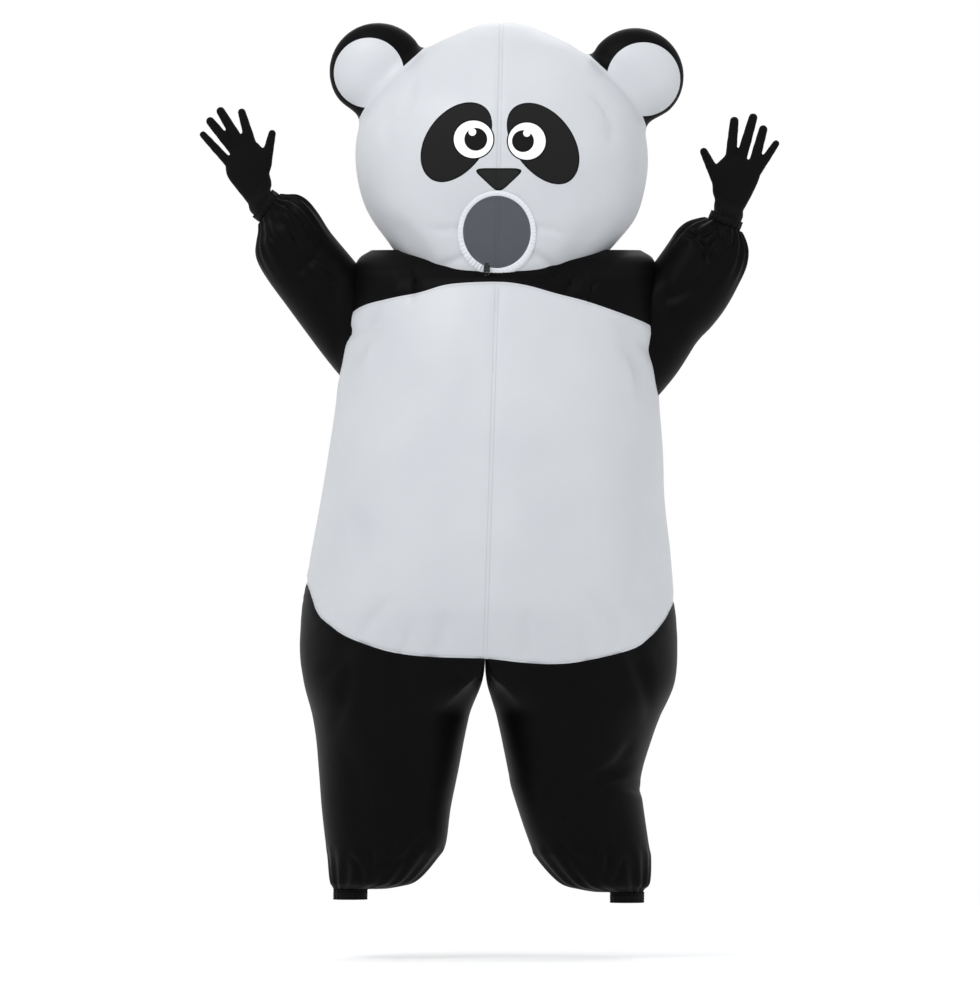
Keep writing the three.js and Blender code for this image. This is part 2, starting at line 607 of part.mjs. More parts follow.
// Blower: a housing whose barrel goes through the port, with its flange on the panel
const lathe = (profile) =>
  new THREE.LatheGeometry([...profile, profile[0]].map(([r, y]) => new THREE.Vector2(r, y)), DISC_SIDES)
    .rotateX(Math.PI / 2);
const bar = (from, to, low, high, width, angle) =>
  new THREE.BoxGeometry(to - from, width, high - low)
    .translate((from + to) / 2, 0, (low + high) / 2).rotateZ(angle);
const spokes = (count, ...sizes) =>
  Array.from({ length: count }, (_, i) => solidOf(ontoBack(bar(...sizes, (2 * Math.PI * i) / count))));
const motor = { radius: 15, top: -14, pin: 1.6, pinTop: -5 };
const flangeLow = -8;
const housing = solidOf(ontoBack(lathe([
  [BLOWER.bore, -BLOWER.deep], [barrel, -BLOWER.deep], [barrel, flangeLow], [BLOWER.flange, flangeLow],
  [BLOWER.flange, BLOWER.proud], [BLOWER.bore, BLOWER.proud],
])));
const flangeFit = solidOf(ontoBack(rod(BLOWER.flange + 5, -20, 20)))
  .subtract(solidOf(ontoBack(rod(barrel, -30, 30)))).intersect(torso.reserve);
const stator = [solidOf(ontoBack(rod(motor.radius, -BLOWER.deep, motor.top))),
  solidOf(ontoBack(rod(motor.pin, motor.top - 1, motor.pinTop, 12))),
  ...spokes(3, motor.radius - 1, BLOWER.bore + 1, -BLOWER.deep, -BLOWER.deep + 4, 5)];
const blowerBody = stator.reduce((sum, piece) => sum.add(piece), housing.subtract(flangeFit));
place('blower_housing', geometryOf(blowerBody), materials.plastic);

const grilleLow = BLOWER.proud + SEAM;
const grilleHigh = grilleLow + 2.4;
const grilleRing = (inner, outer) => solidOf(ontoBack(lathe([
  [inner, grilleLow], [outer, grilleLow], [outer, grilleHigh], [inner, grilleHigh]])));
const grille = [grilleRing(29, 32), grilleRing(17, 20), solidOf(ontoBack(rod(8, grilleLow, grilleHigh))),
  ...spokes(4, 6, BLOWER.bore, grilleLow, grilleHigh, 3)]
  .reduce((sum, piece) => sum.add(piece), grilleRing(BLOWER.bore - 1, BLOWER.flange - 3));
place('blower_grille', geometryOf(grille), materials.plastic);

// The impeller's hub turns on the motor's pin
const hubLow = motor.top + SEAM;
const hub = solidOf(ontoBack(lathe([
  [motor.pin + SEAM, hubLow], [motor.radius - 1, hubLow], [motor.radius - 1, -3], [0, -3],
  [0, motor.pinTop + 0.5], [motor.pin + SEAM, motor.pinTop + 0.5],
])));
const BLADES = 7;
const blade = (i) => new THREE.BoxGeometry(BLOWER.bore - 14.5, 12, 1.6).rotateX(0.6)
  .translate((BLOWER.bore + 11.5) / 2, 0, (hubLow - 3) / 2).rotateZ((2 * Math.PI * i) / BLADES);
const impeller = Array.from({ length: BLADES }, (_, i) => solidOf(ontoBack(blade(i))))
  .reduce((sum, piece) => sum.add(piece), hub);
place('impeller', geometryOf(impeller), materials.plastic);

export default costume;
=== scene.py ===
"""Inflatable panda costume, blown up in its worn pose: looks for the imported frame, in metres."""
import json
import math

import bpy
import numpy as np
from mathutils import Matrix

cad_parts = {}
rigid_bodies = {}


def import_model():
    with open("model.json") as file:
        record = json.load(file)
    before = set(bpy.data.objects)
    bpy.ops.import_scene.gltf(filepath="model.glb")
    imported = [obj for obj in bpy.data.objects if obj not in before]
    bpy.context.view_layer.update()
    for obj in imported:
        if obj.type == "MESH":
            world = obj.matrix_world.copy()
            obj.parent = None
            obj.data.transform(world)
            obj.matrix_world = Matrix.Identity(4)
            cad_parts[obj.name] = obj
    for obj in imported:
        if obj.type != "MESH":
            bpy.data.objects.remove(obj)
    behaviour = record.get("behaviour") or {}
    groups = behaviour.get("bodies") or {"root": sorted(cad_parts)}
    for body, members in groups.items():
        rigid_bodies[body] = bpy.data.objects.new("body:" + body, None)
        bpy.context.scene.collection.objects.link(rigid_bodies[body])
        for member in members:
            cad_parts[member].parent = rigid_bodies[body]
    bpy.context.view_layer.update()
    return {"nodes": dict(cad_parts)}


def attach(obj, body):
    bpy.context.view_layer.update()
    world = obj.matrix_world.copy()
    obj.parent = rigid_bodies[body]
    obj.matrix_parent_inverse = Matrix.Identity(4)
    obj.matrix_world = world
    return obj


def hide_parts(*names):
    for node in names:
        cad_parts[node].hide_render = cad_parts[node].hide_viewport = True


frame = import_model()

# Camera: a very long lens straight in front of the costume and level with its belly, at the
# photograph's framing of 2.2 mm to a pixel, so that near and far parts keep one scale.
PIXEL = 0.0022
PICTURE = 980
ORIGIN_PX = (495, 285)  # where the frame's origin lies in the photograph
middle = PICTURE / 2
distance = 40.0
camera = bpy.data.objects.new("camera", bpy.data.cameras.new("camera"))
camera.data.lens = camera.data.sensor_width * distance / (PIXEL * PICTURE)
camera.location = ((middle - ORIGIN_PX[0]) * PIXEL, -distance, (ORIGIN_PX[1] - middle) * PIXEL)
camera.rotation_euler = (math.pi / 2, 0, 0)
camera.data.clip_end = 80
bpy.context.scene.collection.objects.link(camera)
bpy.context.scene.camera = camera

# White taffeta: a close plain weave of fine polyester with an air-tight coating. It has a
# soft satin sheen, lets some light through, and is topstitched 4 mm beside each seam.
MM = 0.001


def linear(colour):
    """An sRGB hex colour as linear RGBA."""
    parts = [int(colour[i : i + 2], 16) / 255 for i in (1, 3, 5)]
    return [c / 12.92 if c <= 0.04045 else ((c + 0.055) / 1.055) ** 2.4 for c in parts] + [1.0]


def add(material, kind, settings=(), **links):
    """One node, with its settings and the sockets or values that its inputs get."""
    node = material.node_tree.nodes.new(kind)
    for name, value in dict(settings).items():
        setattr(node, name, value)
    for name, value in links.items():
        key = int(name[1:]) if name[0] == "i" and name[1:].isdigit() else name.replace("_", " ")
        socket = node.inputs[key]
        if isinstance(value, bpy.types.NodeSocket):
            material.node_tree.links.new(value, socket)
        else:
            socket.default_value = value
    return node


def new_material(name, **values):
    """A material with its Principled shader's constants set on the shader's own sockets."""
    material = bpy.data.materials.new(name)
    material.use_nodes = True
    shader = material.node_tree.nodes["Principled BSDF"]
    for key, value in values.items():
        shader.inputs[key.replace("_", " ")].default_value = value
    return material, shader


def math_node(material, operation, a, b=0.0, c=0.0):
    """The output of one sum on numbers or sockets."""
    return add(material, "ShaderNodeMath", {"operation": operation}, i0=a, i1=b, i2=c).outputs[0]


def thread_wave(material, place, direction, pitch, **values):
    """Threads or rows side by side, so many metres apart. At scale 1 they are 0.314 m apart."""
    return add(material, "ShaderNodeTexWave", {"bands_direction": direction}, Vector=place,
               Scale=0.314 / pitch, **values).outputs["Fac"]


def over(material, mask, above, below):
    """One colour over another where the mask is 1."""
    mixed = add(material, "ShaderNodeMix", {"data_type": "RGBA"}, Factor=mask, i6=below, i7=above)
    return mixed.outputs[2]


def near(material, value, place, reach):
    """1 where the value is within the reach of a place, else 0."""
    offset = math_node(material, "ABSOLUTE", math_node(material, "SUBTRACT", value, place))
    return math_node(material, "LESS_THAN", offset, reach)


def stitches(material):
    """Topstitching from the attributes that hold each point's distance from its nearest seam and
    along it, both in mm: threads 0.8 mm thick, 3.2 mm from start to start, 4 mm from the seam."""
    gap = add(material, "ShaderNodeAttribute", {"attribute_name": "seam_gap"}).outputs["Fac"]
    run = add(material, "ShaderNodeAttribute", {"attribute_name": "seam_run"}).outputs["Fac"]
    along_pitch = math_node(material, "FRACT", math_node(material, "DIVIDE", run, 3.2))
    thread = near(material, along_pitch, 0.5, 0.36)
    return math_node(material, "MULTIPLY", near(material, gap, 4.0, 0.55), thread)


def woven(name, light, dark, thread, ripple, stitch, **values):
    """Woven cloth: two threads crossing, cloudy tone, slack ripples and topstitching. Gives the
    material, its shader and the socket that holds its colour."""
    material, shader = new_material(name, **values)
    links = material.node_tree.links
    place = add(material, "ShaderNodeTexCoord").outputs["Object"]
    cloud = add(material, "ShaderNodeTexNoise", Vector=place, Scale=7.0, Detail=3.0)
    tone = over(material, cloud.outputs["Fac"], linear(light), linear(dark))
    sewn = stitches(material)
    colour = over(material, sewn, linear(stitch), tone)
    links.new(colour, shader.inputs["Base Color"])
    grid = math_node(material, "ADD", *(thread_wave(material, place, way, thread) for way in "XZ"))
    slack = add(material, "ShaderNodeTexNoise", Vector=place, Scale=1 / ripple, Detail=2.0,
                Roughness=0.45, Distortion=0.6)
    fine = add(material, "ShaderNodeBump", Strength=0.1, Distance=thread / 6, Height=grid)
    sewing = add(material, "ShaderNodeBump", Strength=0.6, Distance=0.5 * MM, Height=sewn,
                 Normal=fine.outputs[0])
    soft = add(material, "ShaderNodeBump", Strength=0.3, Distance=ripple * 0.04,
               Height=slack.outputs["Fac"], Normal=sewing.outputs[0])
    links.new(soft.outputs[0], shader.inputs["Normal"])
    return material, shader, colour


def let_light_through(material, shader, colour, share):
    """Part of the light goes through the cloth and leaves it scattered on the other side."""
    glow = add(material, "ShaderNodeBsdfTranslucent", Color=linear(colour))
    both = add(material, "ShaderNodeMixShader", Fac=share)
    material.node_tree.links.new(shader.outputs[0], both.inputs[1])
    material.node_tree.links.new(glow.outputs[0], both.inputs[2])
    output = next(n for n in material.node_tree.nodes if n.type == "OUTPUT_MATERIAL")
    material.node_tree.links.new(both.outputs[0], output.inputs["Surface"])


# the threads are 0.25 mm apart in the real cloth and drawn 0.9 mm apart, so that they show
THREAD = 0.9 * MM
WHITE = ("#d3d6da", "#c7cacf", THREAD, 70 * MM, "#b1b4b9")
WHITE_SHINE = dict(Roughness=0.44, IOR=1.47, Sheen_Weight=0.05, Sheen_Roughness=0.4)
THROUGH = ("#eef0f4", 0.22)  # the tint of the light that comes through, and its share
white_taffeta, shader, _ = woven("white_coated_taffeta", *WHITE, **WHITE_SHINE)
let_light_through(white_taffeta, shader, *THROUGH)

# Black taffeta: the same close polyester weave, dyed black and coated on its inside, sewn with
# black thread. Its satin sheen is dim, so the panels look flat black but for their folds.
BLACK = ("#070708", "#040405", THREAD, 70 * MM, "#101113")
BLACK_SHINE = dict(Roughness=0.5, Specular_IOR_Level=0.05)
black_taffeta, _, _ = woven("black_coated_taffeta", *BLACK, **BLACK_SHINE)

# Torso: one blown-up barrel of coated taffeta, held out by the air inside it, and cut at its
# seams into a black yoke and a white belly and back, which are sewn edge to edge.
# Each row is a level section: height, centre, half width, depth in front and behind, in mm.
TORSO = [
    (-860, -13, 412, 272, 246), (-800, -14, 415, 296, 266), (-745, -14, 413, 318, 281),
    (-693, -14, 408, 334, 292), (-583, -9, 394, 346, 300), (-473, -5, 378, 345, 300),
    (-363, 2, 367, 334, 292), (-253, 6, 355, 314, 276), (-143, 9, 349, 288, 254),
    (-11, 18, 340, 240, 212), (33, 22, 333, 205, 184), (60, 24, 322, 168, 152),
    (77, 24, 296, 118, 108),
]
ROUND = 2.25  # exponent of the level sections, where 2 is an ellipse
FAR = 1500.0  # past every piece, mm
GAP = 0.04  # between pieces at a seam, where the stitching holds them together, mm
WALL = 1.6  # cloth and its seam tape, mm


def through(rows, steps):
    """The rows joined by one smooth curve, Catmull-Rom, with so many steps from row to row."""
    rows = np.array(rows, float)
    p = np.vstack([2 * rows[0] - rows[1], rows, 2 * rows[-1] - rows[-2]])
    t = np.linspace(0, 1, steps, endpoint=False)[None, :, None]
    a, b, c, d = (p[i : len(p) - 3 + i, None] for i in range(4))
    square, cube = 2 * a - 5 * b + 4 * c - d, 3 * b - a - 3 * c + d
    curve = 0.5 * (2 * b + (c - a) * t + square * t**2 + cube * t**3)
    return np.vstack([curve.reshape(-1, rows.shape[1]), rows[-1]])


def power(value, exponent):
    """A power that keeps the value's sign."""
    return np.sign(value) * np.abs(value) ** exponent


def turns(sides):
    """So many even angles round a full turn."""
    return np.linspace(0, 2 * math.pi, sides, endpoint=False)


def level(rows, angle):
    """Level sections: a superellipse of the row's half width, deeper in front than behind,
    from the front round through +X. Rows run down the first axis, angles along the second."""
    z, x, half, front, back = (rows[:, i, None] for i in range(5))
    across = power(np.sin(angle), 2 / ROUND)
    along = power(-np.cos(angle), 2 / ROUND)
    depth = np.where(along < 0, front, back)
    return np.stack([x + half * across, depth * along, z + 0 * across], axis=-1)


def outward(piece):
    """The closed piece with its faces turned outwards."""
    if volume_of(piece.data) < 0:
        piece.data.flip_normals()
    return piece


def mesh_piece(name, points, faces):
    """An object from points in mm and faces."""
    mesh = bpy.data.meshes.new(name)
    mesh.from_pydata((np.asarray(points) * MM).tolist(), [], [list(f) for f in faces])
    mesh.validate()
    piece = bpy.data.objects.new(name, mesh)
    bpy.context.scene.collection.objects.link(piece)
    return piece


def skin(name, grid):
    """A closed skin over a grid of rings, with a fan over each end, its faces outwards."""
    count, sides = grid.shape[:2]
    i, j = np.meshgrid(np.arange(count - 1), np.arange(sides), indexing="ij")
    k = (j + 1) % sides
    quads = np.stack([i * sides + j, i * sides + k, (i + 1) * sides + k, (i + 1) * sides + j], -1)
    points = np.vstack([grid.reshape(-1, 3), grid[0].mean(0), grid[-1].mean(0)])
    n = count * sides
    ring = np.arange(sides)
    after = (ring + 1) % sides
    low = np.stack([after, ring, np.full(sides, n)], -1)
    high = np.stack([n - sides + ring, n - sides + after, np.full(sides, n + 1)], -1)
    faces = quads.reshape(-1, 4).tolist() + low.tolist() + high.tolist()
    return outward(mesh_piece(name, points, faces))


def arrays_of(mesh):
    """A mesh's points in mm, its point normals, and its triangles."""
    points, normals = (np.zeros(len(mesh.vertices) * 3, np.float32) for _ in range(2))
    mesh.vertices.foreach_get("co", points)
    mesh.vertex_normals.foreach_get("vector", normals)
    mesh.calc_loop_triangles()
    triangles = np.zeros(len(mesh.loop_triangles) * 3, np.int32)
    mesh.loop_triangles.foreach_get("vertices", triangles)
    return points.reshape(-1, 3) / MM, normals.reshape(-1, 3), triangles.reshape(-1, 3)


def volume_of(mesh):
    """A closed mesh's volume in cubic mm, negative where its faces point inwards."""
    points, _, triangles = arrays_of(mesh)
    a, b, c = (points[triangles[:, i]].astype(float) for i in range(3))
    return (a * np.cross(b, c)).sum() / 6


def set_points(mesh, points):
    """Puts the mesh's points at new places, in mm."""
    mesh.vertices.foreach_set("co", (points * MM).astype(np.float32).ravel())
    mesh.update()


def moved(piece, distance, name="form_moved"):
    """A copy of the skin, moved along its own normals by so many mm."""
    copy = bpy.data.objects.new(name, piece.data.copy())
    bpy.context.scene.collection.objects.link(copy)
    points, normals, _ = arrays_of(piece.data)
    set_points(copy.data, points + normals * distance)
    return copy


def carved(name, form, *cuts):
    """A new piece: the form after each cut, a pair of DIFFERENCE, INTERSECT or UNION and a cutter."""
    copy = bpy.data.objects.new(name, form.data.copy())
    bpy.context.scene.collection.objects.link(copy)
    for operation, cutter in cuts:
        step = copy.modifiers.new("cut", "BOOLEAN")
        step.operation, step.solver, step.object = operation, "MANIFOLD", cutter
    graph = bpy.context.evaluated_depsgraph_get()
    mesh = bpy.data.meshes.new_from_object(copy.evaluated_get(graph))
    copy.modifiers.clear()
    old, copy.data = copy.data, mesh
    bpy.data.meshes.remove(old)
    mesh.name = name
    return copy


def remeshed(piece, size):
    """Gives the piece an even skin of voxels so many mm wide, which rounds its valleys."""
    even = piece.modifiers.new("even", "REMESH")
    even.mode, even.voxel_size = "VOXEL", size * MM
    graph = bpy.context.evaluated_depsgraph_get()
    piece.data = bpy.data.meshes.new_from_object(piece.evaluated_get(graph))
    piece.modifiers.clear()
    return arrays_of(piece.data)[0].astype(float)


def prism(outline, front=-FAR, back=FAR):
    """A block with the outline in the XZ plane, running along Y from front to back, in mm."""
    outline = np.array(outline, float)
    n = len(outline)
    points = [np.insert(outline, 1, y, axis=1) for y in (front, back)]
    ring = np.arange(n)
    sides = np.stack([ring, (ring + 1) % n, (ring + 1) % n + n, ring + n], -1).tolist()
    ends = [list(ring[::-1]), list(ring + n)]
    return outward(mesh_piece("form_prism", np.vstack(points), sides + ends))


def above(curve):
    """The space over a curve that runs to +X, half a gap clear of it. The next three likewise."""
    return prism([*(np.array(curve) + (0, GAP / 2)), (FAR, FAR), (-FAR, FAR)])


def below(curve):
    return prism([*(np.array(curve) - (0, GAP / 2)), (FAR, -FAR), (-FAR, -FAR)])


def left_of(curve):
    return prism([*(np.array(curve) + (GAP / 2, 0)), (FAR, -FAR), (FAR, FAR)])


def right_of(curve):
    return prism([*(np.array(curve) - (GAP / 2, 0)), (-FAR, -FAR), (-FAR, FAR)])


ALL = [(-FAR, -FAR), (FAR, -FAR), (FAR, FAR), (-FAR, FAR)]
in_front = prism(ALL, -FAR, -GAP / 2)
behind = prism(ALL, GAP / 2, FAR)

# The seams: plain sewn seams from yoke to belly, from belly to legs, and down the centre. They
# pull the cloth in along them and pucker it. Each is drawn in the XZ plane, in mm.
YOKE_SEAM = [
    (-FAR, -92), (-345, -92), (-297, -50), (-231, -31), (-165, -18), (-99, 0), (4, 5),
    (66, -2), (132, -20), (198, -37), (264, -59), (330, -84), (360, -104), (FAR, -104),
]
HEM_SEAM = [
    (-FAR, -600), (-440, -610), (-411, -660), (-389, -719), (-361, -746), (-321, -772),
    (-246, -799), (-187, -810), (-121, -815), (-22, -818), (55, -826), (121, -830),
    (191, -824), (297, -799), (339, -772), (363, -746), (381, -719), (410, -660),
    (440, -610), (FAR, -600),
]
CENTRE_SEAM = [(14, FAR), (14, 579), (7, 231), (4, 4), (-11, -473), (-22, -818), (-22, -FAR)]
yoke_curve = through(YOKE_SEAM[1:-1], 6)
yoke_curve = np.vstack([YOKE_SEAM[0], yoke_curve, YOKE_SEAM[-1]])
hem_curve = through(HEM_SEAM[1:-1], 6)
hem_curve = np.vstack([HEM_SEAM[0], hem_curve, HEM_SEAM[-1]])
halves = {"left": left_of(CENTRE_SEAM), "right": right_of(CENTRE_SEAM)}


def from_curve(points, curve):
    """How far each point is from a polyline in the XZ plane, and how far along it, in mm."""
    curve = np.array(curve, float)
    a, b = curve[:-1], curve[1:]
    run = b - a
    length = np.hypot(*run.T)
    offset = points[:, None, [0, 2]] - a
    share = np.clip((offset * run).sum(-1) / length**2, 0, 1)
    gap = np.hypot(*np.moveaxis(offset - share[..., None] * run, -1, 0))
    nearest = gap.argmin(1)
    pick = np.arange(len(points)), nearest
    start = np.concatenate([[0], np.cumsum(length)[:-1]])
    return gap[pick], start[nearest] + share[pick] * length[nearest]


def puckers(points, curve, depth=2.2, pitch=23.0, reach=30.0):
    """Stitching draws a seam in: a narrow groove along it, and short ripples across it that
    die out within the reach and vary in size along the seam."""
    gap, run = from_curve(points, curve)
    uneven = 0.6 + 0.4 * np.sin(run / 61 + 1.7 * np.sin(run / 143))
    ripple = np.sin(2 * math.pi * run / pitch + 2.1 * np.sin(run / 37)) * uneven
    groove = -depth * np.exp(-((gap / 5) ** 2))
    return groove + 0.34 * depth * ripple * np.exp(-gap / reach) * (1 - np.exp(-((gap / 6) ** 2)))


def folds(points, rows, side=0):
    """Soft creases: each row is a place (x, z), a length, a width, a depth (a ridge where it is
    negative), its direction in degrees and its bend. The profile is a bell across the crease
    that fades towards both of its ends. side is -1 for the front only and 1 for the back."""
    total = np.zeros(len(points))
    for x, z, length, width, depth, turn, bend in rows:
        angle = math.radians(turn)
        dx, dz = points[:, 0] - x, points[:, 2] - z
        along = (dx * math.cos(angle) + dz * math.sin(angle)) / (length / 2)
        across = -dx * math.sin(angle) + dz * math.cos(angle) - bend * along**2
        total -= depth * np.exp(-((across / width) ** 2)) * np.exp(-(along**4))
    if side:
        total = np.where(points[:, 1] * side > 0, total, 0)
    return total


def softly(piece, *amounts):
    """Moves a skin's points along its normals by the sum of the amounts, in mm."""
    points, normals, _ = arrays_of(piece.data)
    set_points(piece.data, points + normals * sum(amounts)[:, None])


torso_rows = through(TORSO, 15)
torso = skin("form_torso", level(torso_rows, turns(264)))
p = arrays_of(torso.data)[0]
FRONT_FOLDS = [
    (-175, -2, 70, 6, 8, 84, 6), (-215, -8, 60, 9, -5, 70, 4), (165, 2, 54, 6, 8, 62, 4),
    (190, -8, 56, 7, -6, 66, 5), (212, -14, 60, 6, 7, 76, -4), (120, 14, 60, 7, 5, 20, 4),
    (-300, -95, 120, 14, 7, 32, 14), (-312, -160, 150, 18, 9, 62, -16),
    (-286, -205, 110, 12, -4, 70, 8), (318, -120, 130, 16, 8, 140, 12),
    (322, -190, 170, 20, 9, 112, 12), (300, -235, 120, 12, -4, 104, -8),
    (-290, -560, 150, 22, 6, 102, 10), (330, -560, 190, 24, 7, 80, -14),
    (-120, -770, 110, 15, 6, 74, 6), (70, -775, 120, 16, 6, 100, -8),
    (250, -740, 130, 18, 7, 122, 10), (-270, -735, 120, 16, 7, 58, -8),
    (-200, -790, 80, 9, 4, 66, 5), (190, -795, 90, 10, 4, 112, 5), (-60, -300, 260, 50, 4, 84, 20),
    (120, -420, 320, 60, 4, 98, -20),
]
BACK_FOLDS = [
    (-200, -10, 80, 8, 7, 70, 8), (190, -16, 90, 8, 7, 110, -8), (-120, 14, 60, 7, 4, 96, 5),
    (-300, -140, 160, 16, 9, 60, 14), (-270, -190, 120, 12, -4, 64, 8),
    (300, -150, 170, 16, 9, 118, -12), (-240, -420, 220, 28, 6, 75, 18),
    (230, -520, 240, 30, 6, 104, -16), (-90, -760, 120, 16, 6, 80, 8),
    (110, -765, 130, 16, 6, 100, -8), (260, -730, 110, 14, 5, 124, 8),
    (60, -250, 160, 22, 6, 150, 10), (-70, -180, 130, 16, 5, 24, 10),
    (-190, -560, 90, 10, 4, 130, 6), (-85, -545, 80, 9, 4, 40, 6),
]
softly(
    torso,
    puckers(p, yoke_curve, 2.0), puckers(p, hem_curve, 2.6, 27.0, 38.0),
    puckers(p, CENTRE_SEAM, 1.8, 31.0, 26.0),
    folds(p, FRONT_FOLDS, -1), folds(p, BACK_FOLDS, 1),
)
torso_hollow = moved(torso, -WALL, "form_torso_hollow")
trunk_wall = carved("form_trunk_wall", torso, ("DIFFERENCE", torso_hollow))

# Sleeves: blown-up tubes of black taffeta, sewn into the armholes, that stand out and up from
# them and are drawn in at the wrist by elastic.
# Each row: centre x and z, half width, depth, the arm's direction in degrees, gather depth.
SLEEVES = {
    "right": [
        (-214, -205, 92, 96, 128, 0), (-286, -121, 92, 97, 128, 0), (-340, -52, 91, 96, 128, 0),
        (-385, 6, 89, 94, 128, 0), (-427, 60, 87, 90, 129, 0.3), (-452, 100, 86, 86, 131, 1.5),
        (-468, 128, 80, 80, 135, 3), (-479, 147, 66, 67, 139, 4.5), (-489, 160, 48, 49, 142, 4),
        (-499, 172, 36, 36, 144, 2), (-515, 184, 35, 35, 144, 1),
    ],
    "left": [
        (250, -228, 92, 96, 53, 0), (319, -143, 95, 98, 53, 0), (367, -70, 95, 98, 54, 0),
        (400, -36, 94, 97, 55, 0), (430, 2, 93, 94, 56, 0), (458, 46, 90, 91, 58, 0.5),
        (477, 80, 85, 86, 61, 2.5), (490, 106, 72, 75, 64, 4.5), (499, 124, 54, 56, 66, 4.5),
        (505, 138, 36, 36, 68, 2), (512, 157, 35, 35, 68, 1),
    ],
}
# creases in each sleeve, front and back: x, z, length, width, depth, direction, bend
SLEEVE_FOLDS = {
    "right": [
        (-452, 120, 90, 7, 4.5, 128, 8), (-430, 96, 120, 10, 5, 122, -10),
        (-478, 96, 80, 8, 4, 140, 6), (-400, 10, 150, 16, 5, 126, 12),
        (-362, -40, 130, 18, 5, 70, 14), (-372, 40, 110, 12, 4, 150, 10),
        (-418, 40, 100, 9, 3.5, 40, 8), (-345, -110, 120, 14, 5, 96, 12),
    ],
    "left": [
        (468, 118, 80, 8, 8, 24, 10), (474, 84, 96, 8, 7, 62, -12), (506, 62, 110, 8, 7, 74, 10),
        (448, 92, 70, 8, 7, 130, 8), (496, 104, 60, 6, 5, 96, 4), (430, 20, 150, 18, 6, 58, 12),
        (380, -60, 140, 18, 6, 110, -14), (470, 20, 100, 12, 5, 70, 8), (410, -20, 100, 14, 4, 20, 10),
    ],
}


def limb(rows, angle, gathers=0):
    """Sections across a limb that runs in the XZ plane: an ellipse square to the limb's
    direction, waved by the gathers, which are uneven round the limb."""
    x, z, half, depth, turn, pleat = (rows[:, i, None] for i in range(6))
    turn = np.radians(turn)
    wave = np.cos(gathers * angle + 0.9 * np.sin(3 * angle)) * (0.75 + 0.25 * np.sin(2 * angle + 1))
    swell = pleat * wave
    across = (half + swell) * np.cos(angle)
    deep = (depth + swell) * np.sin(angle)
    return np.stack([x - across * np.sin(turn), deep, z + across * np.cos(turn)], -1)


def sewn_along(piece, *curves):
    """Keeps each face corner's distance from a seam and along it, in mm, for the stitches. A face
    takes the seam nearest its middle, so stitches meet at a corner in a clean mitre. A seam is a
    curve in the XZ plane, or None for the side seam where Y is 0."""
    mesh = piece.data
    middles = np.zeros(len(mesh.polygons) * 3, np.float32)
    mesh.polygons.foreach_get("center", middles)
    corners, sizes = np.zeros(len(mesh.loops), np.int32), np.zeros(len(mesh.polygons), np.int32)
    mesh.loops.foreach_get("vertex_index", corners)
    mesh.polygons.foreach_get("loop_total", sizes)
    count = len(mesh.vertices)
    places = np.vstack([arrays_of(mesh)[0], middles.reshape(-1, 3) / MM]).astype(float)
    measured = np.array([
        (np.abs(places[:, 1]), places[:, 2]) if curve is None else from_curve(places, curve)
        for curve in curves
    ])
    nearest = np.repeat(measured[:, 0, count:].argmin(0), sizes)
    for name, row in (("seam_gap", 0), ("seam_run", 1)):
        values = measured[nearest, row, corners].astype(np.float32)
        mesh.attributes.new(name, "FLOAT", "CORNER").data.foreach_set("value", values)


def finished(piece, node, material, body="costume"):
    """A piece that stands for its node: shaded smooth but for its cut edges, in its finish,
    riding on its body, with the node's imported part hidden."""
    piece.data.materials.clear()
    piece.data.materials.append(material)
    piece.data.polygons.foreach_set("use_smooth", [True] * len(piece.data.polygons))
    piece.data.set_sharp_from_angle(angle=math.radians(38))
    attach(piece, body)
    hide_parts(node)
    return piece


def along(row, distance):
    """The row moved along its limb by so many mm."""
    turn = math.radians(row[4])
    return (row[0] + distance * math.cos(turn), row[1] + distance * math.sin(turn), *row[2:])


def past(row):
    """The space past a section of a limb."""
    turn = math.radians(row[4])
    c, s, size = math.cos(turn), math.sin(turn), 200
    corners = [(0, -size), (2 * size, -size), (2 * size, size), (0, size)]
    return prism([(row[0] + u * c - v * s, row[1] + u * s + v * c) for u, v in corners], -size, size)


sleeve_forms = {}
for side, rows in SLEEVES.items():
    form = skin("form_sleeve", limb(through(rows[:-1], 14), turns(132), 19))
    p = arrays_of(form.data)[0]
    softly(form, folds(p, SLEEVE_FOLDS[side], -1), folds(p * (1, -1, 1), SLEEVE_FOLDS[side], -1) * 0.8)
    sleeve_forms[side] = form
    start = along(rows[-2], -5)
    wall = carved(f"sleeve_{side}_cloth", form, ("DIFFERENCE", moved(form, -WALL)),
                  ("DIFFERENCE", torso_hollow), ("DIFFERENCE", past(start)))
    sewn_along(wall, [row[:2] for row in (along(rows[-2], -19), along(rows[-2], -20))])
    finished(wall, f"sleeve_{side}", black_taffeta)

# Head: a round blown-up form of taffeta with two round ears, sewn from four white panels and
# two black ones. The front halves run out into the white inner ears, the black ear backs wrap
# over the rims, and the back halves are plain white. Rows as for the torso.
HEAD = [
    (-15, 6, 160, 205, 150), (15, 8, 186, 221, 172), (92, 16, 249, 243, 222),
    (145, 18, 289, 252, 246), (198, 16, 310, 259, 262), (264, 15, 321, 263, 270),
    (330, 14, 317, 254, 262), (396, 16, 296, 232, 238), (455, 16, 247, 193, 196),
    (515, 15, 172, 138, 140), (545, 16, 118, 100, 100), (568, 16, 62, 56, 56),
    (577, 16, 24, 22, 22),
]
# side: lobe centre x and z, lobe radius, lobe depth, white disc's centre x and z, its radius
EARS = {"right": (-257, 470, 107, 62, -277, 466, 77), "left": (308, 459, 107, 62, 326, 452, 81)}
